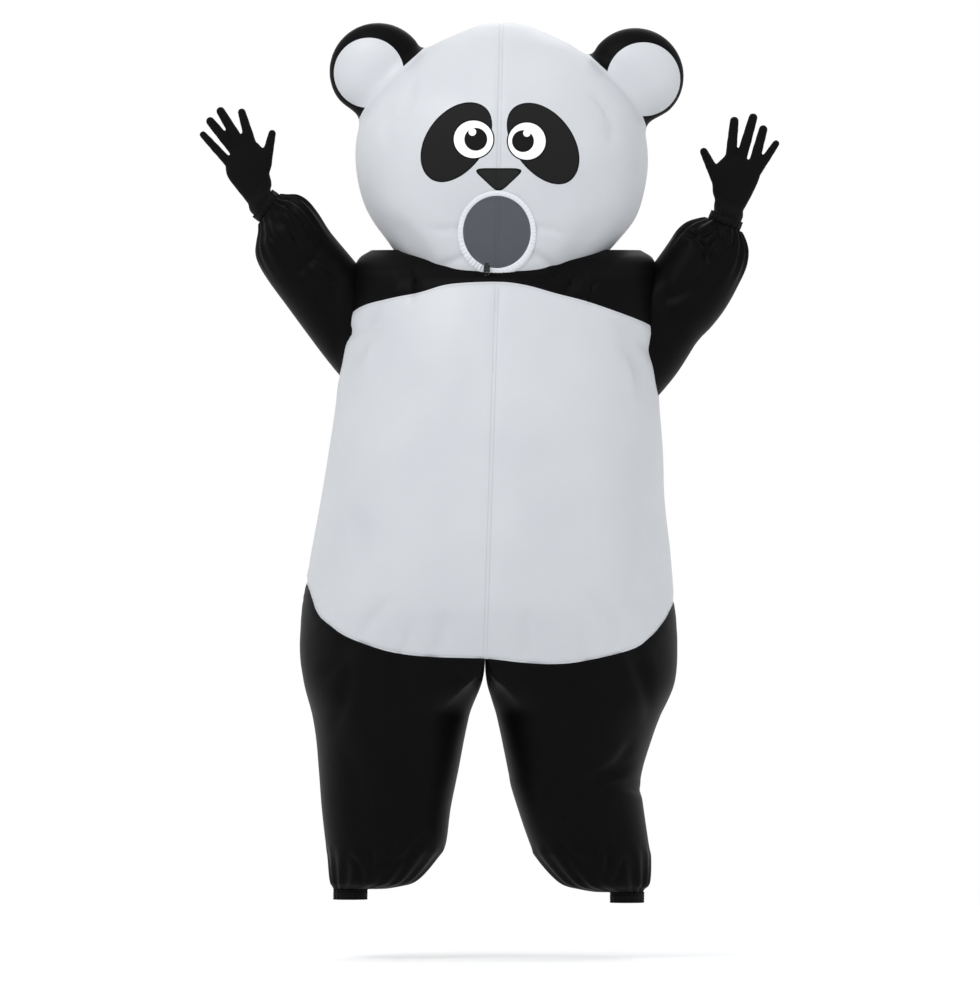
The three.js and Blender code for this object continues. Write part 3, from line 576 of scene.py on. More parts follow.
# the face opening's middle, half width and half height, and the dimple that it sits in
FACE = dict(x=4, z=114, half=78, tall=83, dimple=26, reach=120)
HEAD_FOLDS = [
    (-196, 392, 120, 14, 5, 62, 12), (236, 392, 60, 8, 5, 128, 6), (-238, 350, 90, 14, 4, 88, -6),
    (258, 352, 90, 14, 4, 92, 6), (-70, 60, 110, 10, 4, 30, 8), (92, 62, 110, 10, 4, 150, 8),
    (-96, 120, 90, 10, 3, 10, 8), (110, 122, 90, 10, 3, 172, 8), (-180, 90, 160, 22, 5, 128, 14),
    (190, 92, 160, 22, 5, 52, -14), (-40, 470, 200, 40, 3, 100, 20), (70, 480, 180, 36, 3, 78, -16),
]


def oval(x, z, half, tall, sides=96):
    """An ellipse's points round its centre."""
    angle = turns(sides)
    return np.stack([x + half * np.cos(angle), z + tall * np.sin(angle)], -1)


def smoothed(mesh, points, weight, rounds):
    """Points drawn towards the mean of their neighbours, by a weight from 0 to 1."""
    edges = np.zeros(len(mesh.edges) * 2, np.int32)
    mesh.edges.foreach_get("vertices", edges)
    a, b = edges.reshape(-1, 2).T
    count = np.bincount(np.concatenate([a, b]), minlength=len(points))[:, None]
    for _ in range(rounds):
        total = np.stack([
            np.bincount(a, points[b, i], len(points)) + np.bincount(b, points[a, i], len(points))
            for i in range(3)
        ], -1)
        points = points + weight[:, None] * 0.5 * (total / count - points)
    return points


def ear_lobe(x, z, radius, deep, sides=112):
    """A round lobe, flatter from front to back: a sphere scaled on each axis."""
    down = np.linspace(0, math.pi, 58)[1:-1, None]
    angle = turns(sides)
    return np.stack([
        x + radius * np.cos(down) + 0 * angle,
        deep * np.sin(down) * np.cos(angle),
        z + radius * np.sin(down) * np.sin(angle),
    ], -1)


head_rows = through(HEAD, 12)
head_plain = skin("form_head_plain", level(head_rows, turns(224)))
lobes = {side: skin("form_lobe", ear_lobe(*row[:4])) for side, row in EARS.items()}
head = carved("form_head", head_plain, *[("UNION", lobe) for lobe in lobes.values()])
p = remeshed(head, 5.5)
# the cloth can't follow a sharp valley, so it bridges each ear's root in a soft curve
reach = np.zeros(len(p))
for x, z, radius, deep, *_ in EARS.values():
    lobe = np.sqrt(((p[:, 0] - x) / radius) ** 2 + (p[:, 1] / deep) ** 2 + ((p[:, 2] - z) / radius) ** 2)
    middle, half, front, back = (
        np.interp(p[:, 2], head_rows[:, 0], head_rows[:, i]) for i in range(1, 5)
    )
    depth = np.where(p[:, 1] < 0, front, back)
    ball = np.abs((p[:, 0] - middle) / half) ** ROUND + np.abs(p[:, 1] / depth) ** ROUND
    ball = np.where(p[:, 2] > HEAD[-1][0], 1.2, ball ** (1 / ROUND))
    reach = np.maximum(reach, np.exp(-(((lobe - 1) / 0.22) ** 2) - ((ball - 1) / 0.16) ** 2))
p = smoothed(head.data, p, np.full(len(p), 0.5), 3)
p = smoothed(head.data, p, np.clip(reach * 1.5, 0, 1), 60)
across, up = (p[:, 0] - FACE["x"]) / FACE["reach"], (p[:, 2] - FACE["z"]) / FACE["reach"]
p[:, 1] += np.where(p[:, 1] < 0, FACE["dimple"] * np.exp(-(across**2 + up**2)), 0)
set_points(head.data, p)
softly(head, puckers(p, CENTRE_SEAM, 1.8, 29.0, 24.0), folds(p, HEAD_FOLDS, -1),
       folds(p * (1, -1, 1), HEAD_FOLDS, -1) * 0.7)
head_wall = carved("form_head_wall", head, ("DIFFERENCE", moved(head, -WALL)),
                   ("DIFFERENCE", torso_hollow))

# Printed face: flat matt ink on the white front, with nothing raised. Two tilted egg shapes,
# fuller on their outer side, white eyes with dark pupils and a highlight, and a rounded nose,
# each with a thin black edge. Eggs: x, z, half length, outer and inner half width, turn, side.
EYE_PATCHES = [(-82.5, 309, 98.5, 68, 60, 53, 1), (103, 306, 101, 68, 60, 127, -1)]
EYES = [(-47, 316, 43, 41), (69.5, 312, 41, 40.5)]
PUPILS = [(-42, 316, 25), (61, 312, 24)]
HIGHLIGHTS = [(-49.5, 332, 8.3), (69.5, 329.5, 8)]
NOSE = dict(x=8.2, z=234, top=19, side=27.2, across=0.6845, down=0.729, round=3.2)
EDGE = 3.0  # the printed outline, mm


def inside_egg(material, x, z, row_x, row_z, half, outer, inner, turn=0.0, mirror=1):
    """1 inside a turned oval whose two flanks have their own half widths, and 0 outside it."""
    c, s = math.cos(math.radians(turn)), math.sin(math.radians(turn))
    dx = math_node(material, "SUBTRACT", x, row_x * MM)
    dz = math_node(material, "SUBTRACT", z, row_z * MM)
    long = math_node(material, "ADD", math_node(material, "MULTIPLY", dx, c / (half * MM)),
                     math_node(material, "MULTIPLY", dz, s / (half * MM)))
    flanks = []
    for size, way in ((outer, mirror), (inner, -mirror)):
        flanks.append(math_node(
            material, "ADD", math_node(material, "MULTIPLY", dx, -way * s / (size * MM)),
            math_node(material, "MULTIPLY", dz, way * c / (size * MM))))
    wide = math_node(material, "MAXIMUM", *flanks)
    total = math_node(material, "ADD", math_node(material, "MULTIPLY", long, long),
                      math_node(material, "MULTIPLY", wide, wide))
    return math_node(material, "LESS_THAN", total, 1.0)


def inside_nose(material, x, z, grow):
    """1 inside a triangle with its point down and round corners: how far the point lies towards
    each side, over that side's own distance, raised to a power and summed."""
    dx = math_node(material, "SUBTRACT", x, NOSE["x"] * MM)
    dz = math_node(material, "SUBTRACT", z, NOSE["z"] * MM)
    total = 0.0
    lean, fall = NOSE["across"], -NOSE["down"]
    sides = [(0, 1, NOSE["top"]), (-lean, fall, NOSE["side"]), (lean, fall, NOSE["side"])]
    for a, b, size in sides:
        reach_of = (size + grow) * MM
        part = math_node(material, "ADD", math_node(material, "MULTIPLY", dx, a / reach_of),
                         math_node(material, "MULTIPLY", dz, b / reach_of))
        part = math_node(material, "MAXIMUM", part, 0.0)
        total = math_node(material, "ADD", total, math_node(material, "POWER", part, NOSE["round"]))
    return math_node(material, "LESS_THAN", total, 1.0)


printed_front, shader, colour = woven("printed_white_coated_taffeta", *WHITE, **WHITE_SHINE)
place = add(printed_front, "ShaderNodeTexCoord").outputs["Object"]
axes = add(printed_front, "ShaderNodeSeparateXYZ", Vector=place)
at = printed_front, axes.outputs["X"], axes.outputs["Z"]
INK, LINE, PALE = "#161617", "#040404", "#eceef1"
layers = []
for x, z, half, outer, inner, turn, mirror in EYE_PATCHES:
    layers.append((inside_egg(*at, x, z, half, outer, inner, turn, mirror), LINE))
    layers.append((inside_egg(*at, x, z, half - EDGE, outer - EDGE, inner - EDGE, turn, mirror), INK))
for x, z, half, tall in EYES:
    layers.append((inside_egg(*at, x, z, half + EDGE, tall + EDGE, tall + EDGE), LINE))
    layers.append((inside_egg(*at, x, z, half, tall, tall), PALE))
for x, z, radius in PUPILS:
    layers.append((inside_egg(*at, x, z, radius, radius, radius), "#0c0c0d"))
for x, z, radius in HIGHLIGHTS:
    layers.append((inside_egg(*at, x, z, radius, radius, radius), PALE))
layers.append((inside_nose(*at, 0), LINE))
layers.append((inside_nose(*at, -EDGE), "#1d1e1e"))
printed = 0.0
for mask, ink in layers:
    colour = over(printed_front, mask, linear(ink), colour)
    printed = math_node(printed_front, "MAXIMUM", printed, mask)
printed_front.node_tree.links.new(colour, shader.inputs["Base Color"])
plain = math_node(printed_front, "SUBTRACT", 1.0, printed)
share = math_node(printed_front, "MULTIPLY", plain, THROUGH[1])
let_light_through(printed_front, shader, THROUGH[0], share)
# the ink is rougher than the cloth and shines less
matt = math_node(printed_front, "MULTIPLY_ADD", printed, 0.3, WHITE_SHINE["Roughness"])
printed_front.node_tree.links.new(matt, shader.inputs["Roughness"])
dull = math_node(printed_front, "MULTIPLY_ADD", printed, -0.35, 0.5)
printed_front.node_tree.links.new(dull, shader.inputs["Specular IOR Level"])

face_hole = prism(oval(FACE["x"], FACE["z"], FACE["half"], FACE["tall"]), -FAR, 0)
ear_zones = {}
for name, off in (("black", GAP / 2), ("white", -GAP / 2)):
    zones = []
    for x, z, radius, deep, disc_x, disc_z, disc in EARS.values():
        size = radius + 25
        square = [(x + u * size, z + v * size) for u, v in ((-1, -1), (1, -1), (1, 1), (-1, 1))]
        zone = prism(square, -200, 200)
        white_disc = prism(oval(disc_x, disc_z, disc + off, disc + off), -FAR, -4 + off)
        zones.append(carved("form_zone", zone, ("DIFFERENCE", moved(head_plain, 5 + off)),
                            ("DIFFERENCE", white_disc)))
    ear_zones[name] = dict(zip(EARS, zones))
for side, half in halves.items():
    ears_out = [("DIFFERENCE", ear_zones["white"][name]) for name in EARS]
    front = carved(f"head_front_{side}_cloth", head_wall, ("INTERSECT", in_front), ("INTERSECT", half),
                   ("DIFFERENCE", face_hole), *ears_out)
    sewn_along(front, CENTRE_SEAM, None)
    finished(front, f"head_front_{side}", printed_front)
    rear = carved(f"head_back_{side}_cloth", head_wall, ("INTERSECT", behind), ("INTERSECT", half),
                  *ears_out)
    sewn_along(rear, CENTRE_SEAM, None)
    finished(rear, f"head_back_{side}", white_taffeta)
    ear = carved(f"ear_back_{side}_cloth", head_wall, ("INTERSECT", ear_zones["black"][side]))
    finished(ear, f"ear_back_{side}", black_taffeta)

# Trunk panels: the torso's taffeta wall, opened at the neck and armholes and round the blower,
# and cut at its seams into the black yoke's three pieces and the four white panels.
# the blower's middle on the back, the radii of its bore and of the hole, and the way it faces
BLOWER = dict(x=-150.0, y=284.655, z=-500.0, bore=43.0, port=46.1, turn=math.radians(13.92))


def onto_back(points):
    """From the blower's frame, whose third axis points out of the panel, to the costume's."""
    u, v, w = np.moveaxis(np.asarray(points, float), -1, 0)
    c, s = math.cos(BLOWER["turn"]), math.sin(BLOWER["turn"])
    x = BLOWER["x"] + u * c - w * s
    y = BLOWER["y"] + u * s + w * c
    return np.stack([x, y, BLOWER["z"] - v], -1)


edge = oval(0, 0, BLOWER["port"], -BLOWER["port"], 64)
port = skin("form_port", onto_back([np.insert(edge, 2, w, axis=1) for w in (-100.0, 100.0)]))
trunk = carved("form_trunk", trunk_wall, ("DIFFERENCE", moved(head, GAP)),
               *[("DIFFERENCE", moved(form, GAP)) for form in sleeve_forms.values()])
yoke_zone, belly_zone = above(yoke_curve), below(yoke_curve)
waist_zone = above(hem_curve)
yoke_front = carved("yoke_front_cloth", trunk, ("INTERSECT", yoke_zone), ("INTERSECT", in_front))
sewn_along(yoke_front, yoke_curve, None)
finished(yoke_front, "yoke_front", black_taffeta)
for side, half in halves.items():
    rear = carved(f"yoke_back_{side}_cloth", trunk, ("INTERSECT", yoke_zone), ("INTERSECT", behind),
                  ("INTERSECT", half))
    sewn_along(rear, yoke_curve, CENTRE_SEAM, None)
    finished(rear, f"yoke_back_{side}", black_taffeta)
    panel = carved(f"belly_{side}_cloth", trunk, ("INTERSECT", belly_zone), ("INTERSECT", waist_zone),
                   ("INTERSECT", in_front), ("INTERSECT", half))
    sewn_along(panel, yoke_curve, hem_curve, CENTRE_SEAM, None)
    finished(panel, f"belly_{side}", white_taffeta)
    panel = carved(f"back_{side}_cloth", trunk, ("INTERSECT", belly_zone), ("INTERSECT", waist_zone),
                   ("INTERSECT", behind), ("INTERSECT", half), ("DIFFERENCE", port))
    sewn_along(panel, yoke_curve, hem_curve, CENTRE_SEAM, None)
    finished(panel, f"back_{side}", white_taffeta)

# Legs: black taffeta, a front and a back piece each, sewn to the belly's hem. Each leg starts as
# half of the torso's section, closed by a straight inseam wall at the crotch, and rounds into a
# tube that is drawn in at the ankle by elastic. Rows as for the torso.
CROTCH = (-22, -818)
THIGH = 130.0  # the stretch over which the section changes, mm
LEGS = {
    "right": [
        (-832, -224, 194, 268, 244), (-911, -228, 179, 244, 224), (-990, -230, 164, 212, 198),
        (-1069, -234, 153, 180, 172), (-1148, -239, 142, 156, 154), (-1228, -240, 132, 136, 138),
        (-1258, -246, 121, 126, 130), (-1307, -266, 95, 92, 98), (-1322, -285, 70, 68, 74),
        (-1331, -318, 34, 36, 36),
    ],
    "left": [
        (-832, 190, 210, 268, 244), (-911, 186, 190, 246, 226), (-990, 180, 167, 214, 200),
        (-1069, 176, 147, 184, 174), (-1112, 180, 142, 168, 164), (-1228, 207, 131, 138, 140),
        (-1258, 216, 126, 126, 130), (-1312, 240, 98, 90, 96), (-1328, 258, 68, 66, 72),
        (-1338, 290, 34, 36, 36),
    ],
}
LEG_FOLDS = {
    "right": [
        (-90, -850, 120, 14, 2, 128, 10), (-330, -905, 150, 16, 5, 76, 8),
        (-330, -800, 150, 20, 5, 58, 12), (-200, -880, 200, 30, 4, 96, 14),
        (-170, -1060, 260, 26, 4, 84, 16), (-300, -1120, 220, 22, 4, 98, 10),
        (-230, -1240, 90, 9, 6, 66, 8), (-270, -1262, 80, 8, 6, 92, 6),
        (-190, -1250, 90, 10, 5, 40, 8), (-300, -1280, 60, 6, 5, 112, 4),
        (-250, -990, 160, 18, 3, 120, 10),
    ],
    "left": [
        (40, -860, 120, 14, 2, 54, 10), (330, -880, 150, 16, 5, 104, 8),
        (300, -800, 150, 20, 5, 122, 12), (160, -880, 200, 30, 4, 84, -14),
        (250, -1075, 110, 14, 8, 20, 8), (286, -1100, 90, 10, 7, 172, 8),
        (268, -1050, 110, 12, 6, 48, 8), (130, -1120, 220, 22, 4, 76, 12),
        (210, -1230, 100, 10, 6, 112, 8), (250, -1262, 80, 8, 6, 88, 6),
        (170, -1250, 90, 10, 5, 132, 8), (276, -1284, 60, 6, 5, 70, 4),
    ],
}


def leg(rows, mirror, angle):
    """The torso's half section, blended into the leg's own rounded section below the crotch.
    The first 72% of the angle runs round the outer side, the rest up the inseam wall."""
    straight = [(z, *rows[0][1:]) for z in (-560, -693, CROTCH[1])]
    levels = through([*straight, *rows[1:]], 14)
    share = angle / (2 * math.pi)
    outer = share < 0.72
    run = np.where(outer, share / 0.72, (share - 0.72) / 0.28)
    corner = math.radians(35)
    swing = np.where(outer, (math.pi + 2 * corner) * run - corner,
                     math.pi + corner + (math.pi - 2 * corner) * run)
    own = level(levels, mirror * swing)
    z = levels[:, 0]
    at = np.maximum(z, TORSO[0][0])
    body = [np.interp(at, torso_rows[:, 0], torso_rows[:, i]) for i in range(1, 5)]
    body = np.stack([z, *body], -1)
    half = level(body, mirror * math.pi * np.where(outer, run, 1.0))
    wall_x = CROTCH[0] + mirror * GAP / 2
    inner = np.stack([
        np.full((len(z), len(angle)), wall_x),
        body[:, 4, None] * (1 - run) - body[:, 3, None] * run,
        z[:, None] + 0 * run,
    ], -1)
    half[..., 0] = mirror * np.maximum(mirror * half[..., 0], mirror * wall_x)
    half = np.where(outer[None, :, None], half, inner)
    t = np.clip((CROTCH[1] - z) / THIGH, 0, 1)
    blend = (t * t * (3 - 2 * t))[:, None, None]
    # gathers deepen towards the elastic at the ankle
    drawn = np.clip((-1225 - z) / 90, 0, 1)[:, None] * (z[:, None] > -1334)
    centre = own.mean(1, keepdims=True)
    wave = 1 + 0.035 * drawn * np.cos(17 * angle + 0.8 * np.sin(3 * angle))
    own = centre + (own - centre) * np.stack([wave, wave, np.ones_like(wave)], -1)
    return half * (1 - blend) + own * blend


below_hem = below(hem_curve)
for side, rows in LEGS.items():
    form = skin("form_leg", leg(rows, -1 if side == "right" else 1, turns(140)))
    p = arrays_of(form.data)[0]
    softly(form, puckers(p, hem_curve, 2.2, 25.0, 34.0) * (np.abs(p[:, 0] - CROTCH[0]) > 12),
           folds(p, LEG_FOLDS[side], -1), folds(p * (1, -1, 1), LEG_FOLDS[side], -1) * 0.8)
    cut_at = rows[-1][0] + 5
    floor_cut = prism([(-FAR, -FAR), (FAR, -FAR), (FAR, cut_at + GAP), (-FAR, cut_at + GAP)])
    wall = carved("form_leg_wall", form, ("DIFFERENCE", moved(form, -WALL)), ("INTERSECT", below_hem),
                  ("DIFFERENCE", floor_cut))
    for face, zone in (("front", in_front), ("back", behind)):
        piece = carved(f"leg_{face}_{side}_cloth", wall, ("INTERSECT", zone))
        sewn_along(piece, hem_curve, None)
        finished(piece, f"leg_{face}_{side}", black_taffeta)

# Elastic casings at the wrists and ankles: a doubled strip of black taffeta with elastic drawn
# through it, 24 mm wide, gathered into uneven pleats and stitched round near both edges.
CUFF = 34.0  # inside radius of a casing, mm
CASING = dict(Roughness=0.6, Specular_IOR_Level=0.08)
black_elastic, _, _ = woven("black_elastic_casing", "#08090a", "#050506", THREAD, 25 * MM,
                            "#131416", **CASING)


def casing(name, start, end, seed):
    """A gathered tube between two sections. Its outer radius waves with each pleat, the pleats
    are uneven round it, and it is nipped in where the two rows of stitching run."""
    x0, z0, turn = start
    x1, z1 = end
    angle = turns(240)
    t = np.linspace(0, 1, 25)[:, None]
    wave = np.cos(23 * angle + 1.3 * np.sin(2 * angle + seed)) * (0.7 + 0.3 * np.sin(5 * angle + seed))
    wave = wave + 0.35 * np.cos(41 * angle + 3 * t + seed)
    nip = np.exp(-(((t - 0.2) / 0.05) ** 2)) + np.exp(-(((t - 0.8) / 0.05) ** 2))
    edge = 1 - np.clip((np.abs(t - 0.5) - 0.42) / 0.08, 0, 1) ** 2
    radius = CUFF + 1.4 + 2.0 * edge + 1.1 * wave * (0.4 + 0.6 * np.abs(2 * t - 1)) - 1.0 * nip
    c, s = math.cos(math.radians(turn)), math.sin(math.radians(turn))
    across = radius * np.cos(angle)
    x, z = x0 + (x1 - x0) * t, z0 + (z1 - z0) * t
    tube = skin("form_casing", np.stack([x - across * s, radius * np.sin(angle), z + across * c], -1))
    bore = skin("form_casing", limb(np.array([
        (x0 - 5 * c, z0 - 5 * s, CUFF, CUFF, turn, 0), (x1 + 5 * c, z1 + 5 * s, CUFF, CUFF, turn, 0),
    ], float), angle))
    return carved(name, tube, ("DIFFERENCE", bore))


for side, rows in SLEEVES.items():
    start, end = along(rows[-2], -4.7), along(rows[-2], 15)
    band = casing(f"wrist_cuff_{side}_casing", (start[0], start[1], start[4]), end[:2], 1.0)
    finished(band, f"wrist_cuff_{side}", black_elastic)
for side, (foot_x, top, foot) in {"right": (-318, -1326, -1350), "left": (290, -1333, -1357)}.items():
    band = casing(f"ankle_cuff_{side}_casing", (foot_x, top, -90), (foot_x, foot), 2.0)
    finished(band, f"ankle_cuff_{side}", black_elastic)

# Gloves: thin black jersey, knitted all in one with five fingers and tucked into the casings.
# Palm rows are sections as on the sleeves, without gathers. Finger rows: x and z of the root
# and of the tip, and the radius at each.
PALMS = {
    "right": [
        (-519, 202, 33, 23, 124), (-531, 229, 41, 20, 118),
        (-545, 265, 50, 18, 115), (-556, 298, 38, 13, 114),
    ],
    "left": [
        (515, 176, 34, 23, 74), (521, 205, 44, 20, 80),
        (531, 247, 52, 18, 81), (543, 278, 39, 13, 80),
    ],
}
FINGERS = {
    "right": [
        (-504, 268, -488, 342, 14, 8.5), (-533, 298, -559, 389, 13.5, 9),
        (-552, 298, -608, 391, 13, 9.8), (-571, 294, -632, 368, 12.5, 9.8),
        (-590, 275, -647, 337, 10.5, 8),
    ],
    "left": [
        (486, 238, 455, 302, 14, 9), (517, 272, 527, 371, 12.5, 10), (541, 278, 570, 378, 12.5, 10),
        (569, 268, 592, 352, 12, 9.8), (580, 256, 622, 318, 10.5, 8),
    ],
}
KNIT = 1.2  # the jersey's thickness, mm
black_knit, shader = new_material("black_jersey_knit", Base_Color=linear("#090909"), Roughness=0.9,
                                  Specular_IOR_Level=0.08, Sheen_Weight=0.04, Sheen_Roughness=0.5)
place = add(black_knit, "ShaderNodeTexCoord").outputs["Object"]
# rows of stitches 1.1 mm apart, each waved by its loops
ribs = thread_wave(black_knit, place, "DIAGONAL", 1.1 * MM, Distortion=1.2, Detail=1.0)
loops = thread_wave(black_knit, place, "Z", 1.4 * MM)
height = math_node(black_knit, "MULTIPLY", ribs, loops)
bump = add(black_knit, "ShaderNodeBump", Strength=0.5, Distance=0.3 * MM, Height=height)
black_knit.node_tree.links.new(bump.outputs[0], shader.inputs["Normal"])


def finger(x, z, tip_x, tip_z, root, tip):
    """A tapered tube with a half-round end and two faint swellings where the joints are."""
    turn = math.degrees(math.atan2(tip_z - z, tip_x - x))
    straight = math.hypot(tip_x - x, tip_z - z) - tip
    round_end = straight + tip * np.sin(np.linspace(0.12, 1.5, 12))
    run = np.concatenate([np.linspace(-14, straight, 26), round_end])
    share = np.clip(run / straight, 0, 1)
    radius = root + (tip - root) * share**0.8
    for joint, spread_of, swell in ((0.45, 0.09, 0.6), (0.75, 0.08, 0.4)):
        radius = radius + swell * np.exp(-(((share - joint) / spread_of) ** 2))
    cap = np.clip((run - straight) / tip, 0, 0.999)
    radius = radius * np.sqrt(1 - cap**2)
    c, s = math.cos(math.radians(turn)), math.sin(math.radians(turn))
    rows = [x + run * c, z + run * s, radius, radius * 0.94, turn + 0 * run, 0 * run]
    return skin("form_finger", limb(np.stack(rows, -1), turns(36)))


for side, rows in SLEEVES.items():
    elastic, end = along(rows[-2], -16), along(rows[-2], 16)
    wrist = [(*row[:2], CUFF - 1, CUFF - 1, row[4], 0) for row in (elastic, end)]
    palm = skin("form_palm", limb(through([*wrist, *((*row, 0) for row in PALMS[side])], 10), turns(80)))
    hand = carved("form_hand", palm, *[("UNION", finger(*row)) for row in FINGERS[side]])
    p = remeshed(hand, 2.2)
    set_points(hand.data, smoothed(hand.data, p, np.full(len(p), 0.6), 7))
    p = arrays_of(hand.data)[0]
    # the knit is slack between the casing and the palm, so it wrinkles across the wrist
    low = along(rows[-2], 20)
    turn = math.radians(low[4])
    start = (p[:, 0] - low[0]) * math.cos(turn) + (p[:, 2] - low[1]) * math.sin(turn)
    wrinkle = np.sin(start / 4.2 + 1.4 * np.sin(p[:, 1] / 9))
    softly(hand, 1.1 * wrinkle * np.exp(-((start - 8) / 22) ** 2))
    back_row = (*elastic[:4], elastic[4] + 180)
    glove = carved(f"glove_{side}_knit", hand, ("DIFFERENCE", moved(hand, -KNIT)),
                   ("DIFFERENCE", past(along(back_row, -4))))
    finished(glove, f"glove_{side}", black_knit)

# Binding of the face opening: a doubled white strip over the raw edge, with the elastic and the
# drawcord inside it, so it is drawn into gathers that are deepest at the lower left.
white_elastic, _, _ = woven("white_elastic_binding", *WHITE, Roughness=0.7, IOR=1.47)


def face_y(x, z):
    """Y of the head's front skin at a point, with the dimple that the elastic draws in."""
    row = [np.interp(z, head_rows[:, 0], head_rows[:, i]) for i in (1, 2, 3)]
    across = np.clip(np.abs(x - row[0]) / row[1], 0, 1)
    near_face = ((x - FACE["x"]) ** 2 + (z - FACE["z"]) ** 2) / FACE["reach"] ** 2
    return -row[2] * (1 - across**ROUND) ** (1 / ROUND) + FACE["dimple"] * np.exp(-near_face)


def ring_mesh(name, grid):
    """A closed hoop: the grid's rows join end to end, and so do the points of each row."""
    n, m = grid.shape[:2]
    i, j = np.meshgrid(np.arange(n), np.arange(m), indexing="ij")
    i2, j2 = (i + 1) % n, (j + 1) % m
    faces = np.stack([i * m + j, i2 * m + j, i2 * m + j2, i * m + j2], -1).reshape(-1, 4)
    return outward(mesh_piece(name, grid.reshape(-1, 3), faces.tolist()))


angle = turns(720)[:, None]
t = turns(30)[None, :]
drawn = 0.45 + 0.9 * np.exp(-(((angle - 4.05) / 0.38) ** 2))  # the gathers' depth round the hoop
wave = np.cos(62 * angle + 2.2 * np.sin(3 * angle)) + 0.5 * np.cos(97 * angle + 1.0)
chin = 3.0 * np.clip(-np.sin(angle), 0, 1) ** 3
width = 5.8 + 1.8 * np.clip(-np.sin(angle), 0, 1) + 0.5 * chin  # half the strip's width
out = width - 4.2 + width * np.sign(np.cos(t)) * np.abs(np.cos(t)) ** 0.7
proud = 1.0 + (2.6 + 0.75 * drawn * wave) * np.sign(np.sin(t)) * np.abs(np.sin(t)) ** 0.7
stitched = (out - (2 * width - 6.2)) / 1.1
proud = proud - 0.9 * np.exp(-(stitched**2)) * (np.sin(t) > 0)
x = FACE["x"] + (FACE["half"] + out) * np.cos(angle)
z = FACE["z"] + (FACE["tall"] + out) * np.sin(angle)
hoop = ring_mesh("face_binding_strip", np.stack([x, face_y(x, z) - proud, z], -1))
finished(hoop, "face_binding", white_elastic)

# Cord lock: a small moulded barrel of black plastic with a sprung plunger. It grips the two ends
# of the drawcord, which come out of the binding behind it and end in a knot each.
black_plastic, _ = new_material("black_moulded_plastic", Base_Color=linear("#151618"), Roughness=0.42,
                                Specular_IOR_Level=0.4)
# the barrel's middle, its radius, half its height and its gap to the skin, in mm
LOCK = dict(x=-18.0, z=34.0, radius=7.0, half=7.5, gap=4.6)
lock_y = float(face_y(LOCK["x"], LOCK["z"])) - LOCK["gap"] - LOCK["radius"]


def turned(profile, centre, sides=48):
    """A form turned round an upright axis through the centre, from (radius, height) pairs."""
    rows = np.array(profile, float)
    a = turns(sides)
    x, y, z = centre
    around = [x + rows[:, :1] * np.cos(a), y + rows[:, :1] * np.sin(a), z + rows[:, 1:] + 0 * a]
    return np.stack(around, -1)


def joined(name, parts):
    """Several closed forms as one mesh."""
    points, faces, start = [], [], 0
    for part in parts:
        points.append(arrays_of(part.data)[0])
        faces += [[start + v for v in face.vertices] for face in part.data.polygons]
        start += len(part.data.vertices)
        bpy.data.objects.remove(part)
    return mesh_piece(name, np.vstack(points), faces)


def rounded(radius, low, high, edge):
    """A cylinder's profile with rounded edges, as (radius, height) pairs."""
    a = np.linspace(0, math.pi / 2, 6)
    bottom = [(radius - edge + edge * math.sin(v), low + edge - edge * math.cos(v)) for v in a]
    return bottom + [(r, low + high - h) for r, h in reversed(bottom)]


centre = (LOCK["x"], lock_y, LOCK["z"])
barrel = rounded(LOCK["radius"], -LOCK["half"], LOCK["half"], 1.5)
# a shallow groove round the barrel's middle, for the thumb
barrel[6:6] = [(7.0, -2.5), (6.3, -1.8), (6.3, 1.8), (7.0, 2.5)]
plunger = rounded(4.2, 0, 12.5, 1.0)
parts = [skin("part", turned(barrel, centre)), skin("part", turned(plunger, centre))]
for dx, low in ((-3, -17.5), (3, -15.5)):
    # the cord's end, with its knot
    cord_end = [(1.4, 0), (1.4, low + 4), (1.4, low + 3), (2.5, low + 2.4), (2.7, low + 1.2), (1.6, low)]
    parts.append(skin("part", turned(cord_end, (centre[0] + dx, *centre[1:]), 24)))
lock = joined("cord_lock_and_ends", parts)
finished(lock, "cord_lock", black_plastic)

# Entry zip at the centre back: white woven tape with a nylon coil down its middle, sewn over
# the seam with a row of stitches at each edge.
zip_tape, shader = new_material("woven_zip_tape", Base_Color=linear("#d9dbdf"), Roughness=0.75)
place = add(zip_tape, "ShaderNodeTexCoord").outputs["Object"]
rib = thread_wave(zip_tape, place, "Z", 0.7 * MM)
bump = add(zip_tape, "ShaderNodeBump", Strength=0.3, Distance=0.15 * MM, Height=rib)
zip_tape.node_tree.links.new(bump.outputs[0], shader.inputs["Normal"])
ZIP = dict(top=-18.0, bottom=-600.0, width=30.0)


def back_y(x, z):
    """Y of the torso's back skin at a point."""
    row = [np.interp(z, torso_rows[:, 0], torso_rows[:, i]) for i in (1, 2, 4)]
    across = np.clip(np.abs(x - row[0]) / row[1], 0, 1)
    return row[2] * (1 - across**ROUND) ** (1 / ROUND)


def zip_x(z):
    """X of the centre seam at a height, on its stretch from (4, 4) to (-11, -473)."""
    return 4 + (z - 4) * (-11 - 4) / (-473 - 4)


z = np.linspace(ZIP["top"], ZIP["bottom"], 240)[:, None]
half = ZIP["width"] / 2
section = np.array([
    (-half, 0.1), (-half, 0.9), (-3, 1.2), (-2.2, 1.4), (2.2, 1.4), (3, 1.2), (half, 0.9), (half, 0.1),
])
x = zip_x(z) + section[:, 0]
ripple = 0.5 * np.sin(z / 17 + 2 * np.sin(z / 61)) * np.clip(np.abs(section[:, 0]) / half, 0, 1)
y = back_y(x, z) + section[:, 1] + np.where(section[:, 1] > 0.5, ripple, 0)
tape_form = skin("part", np.stack([x, y, z + 0 * x], -1))


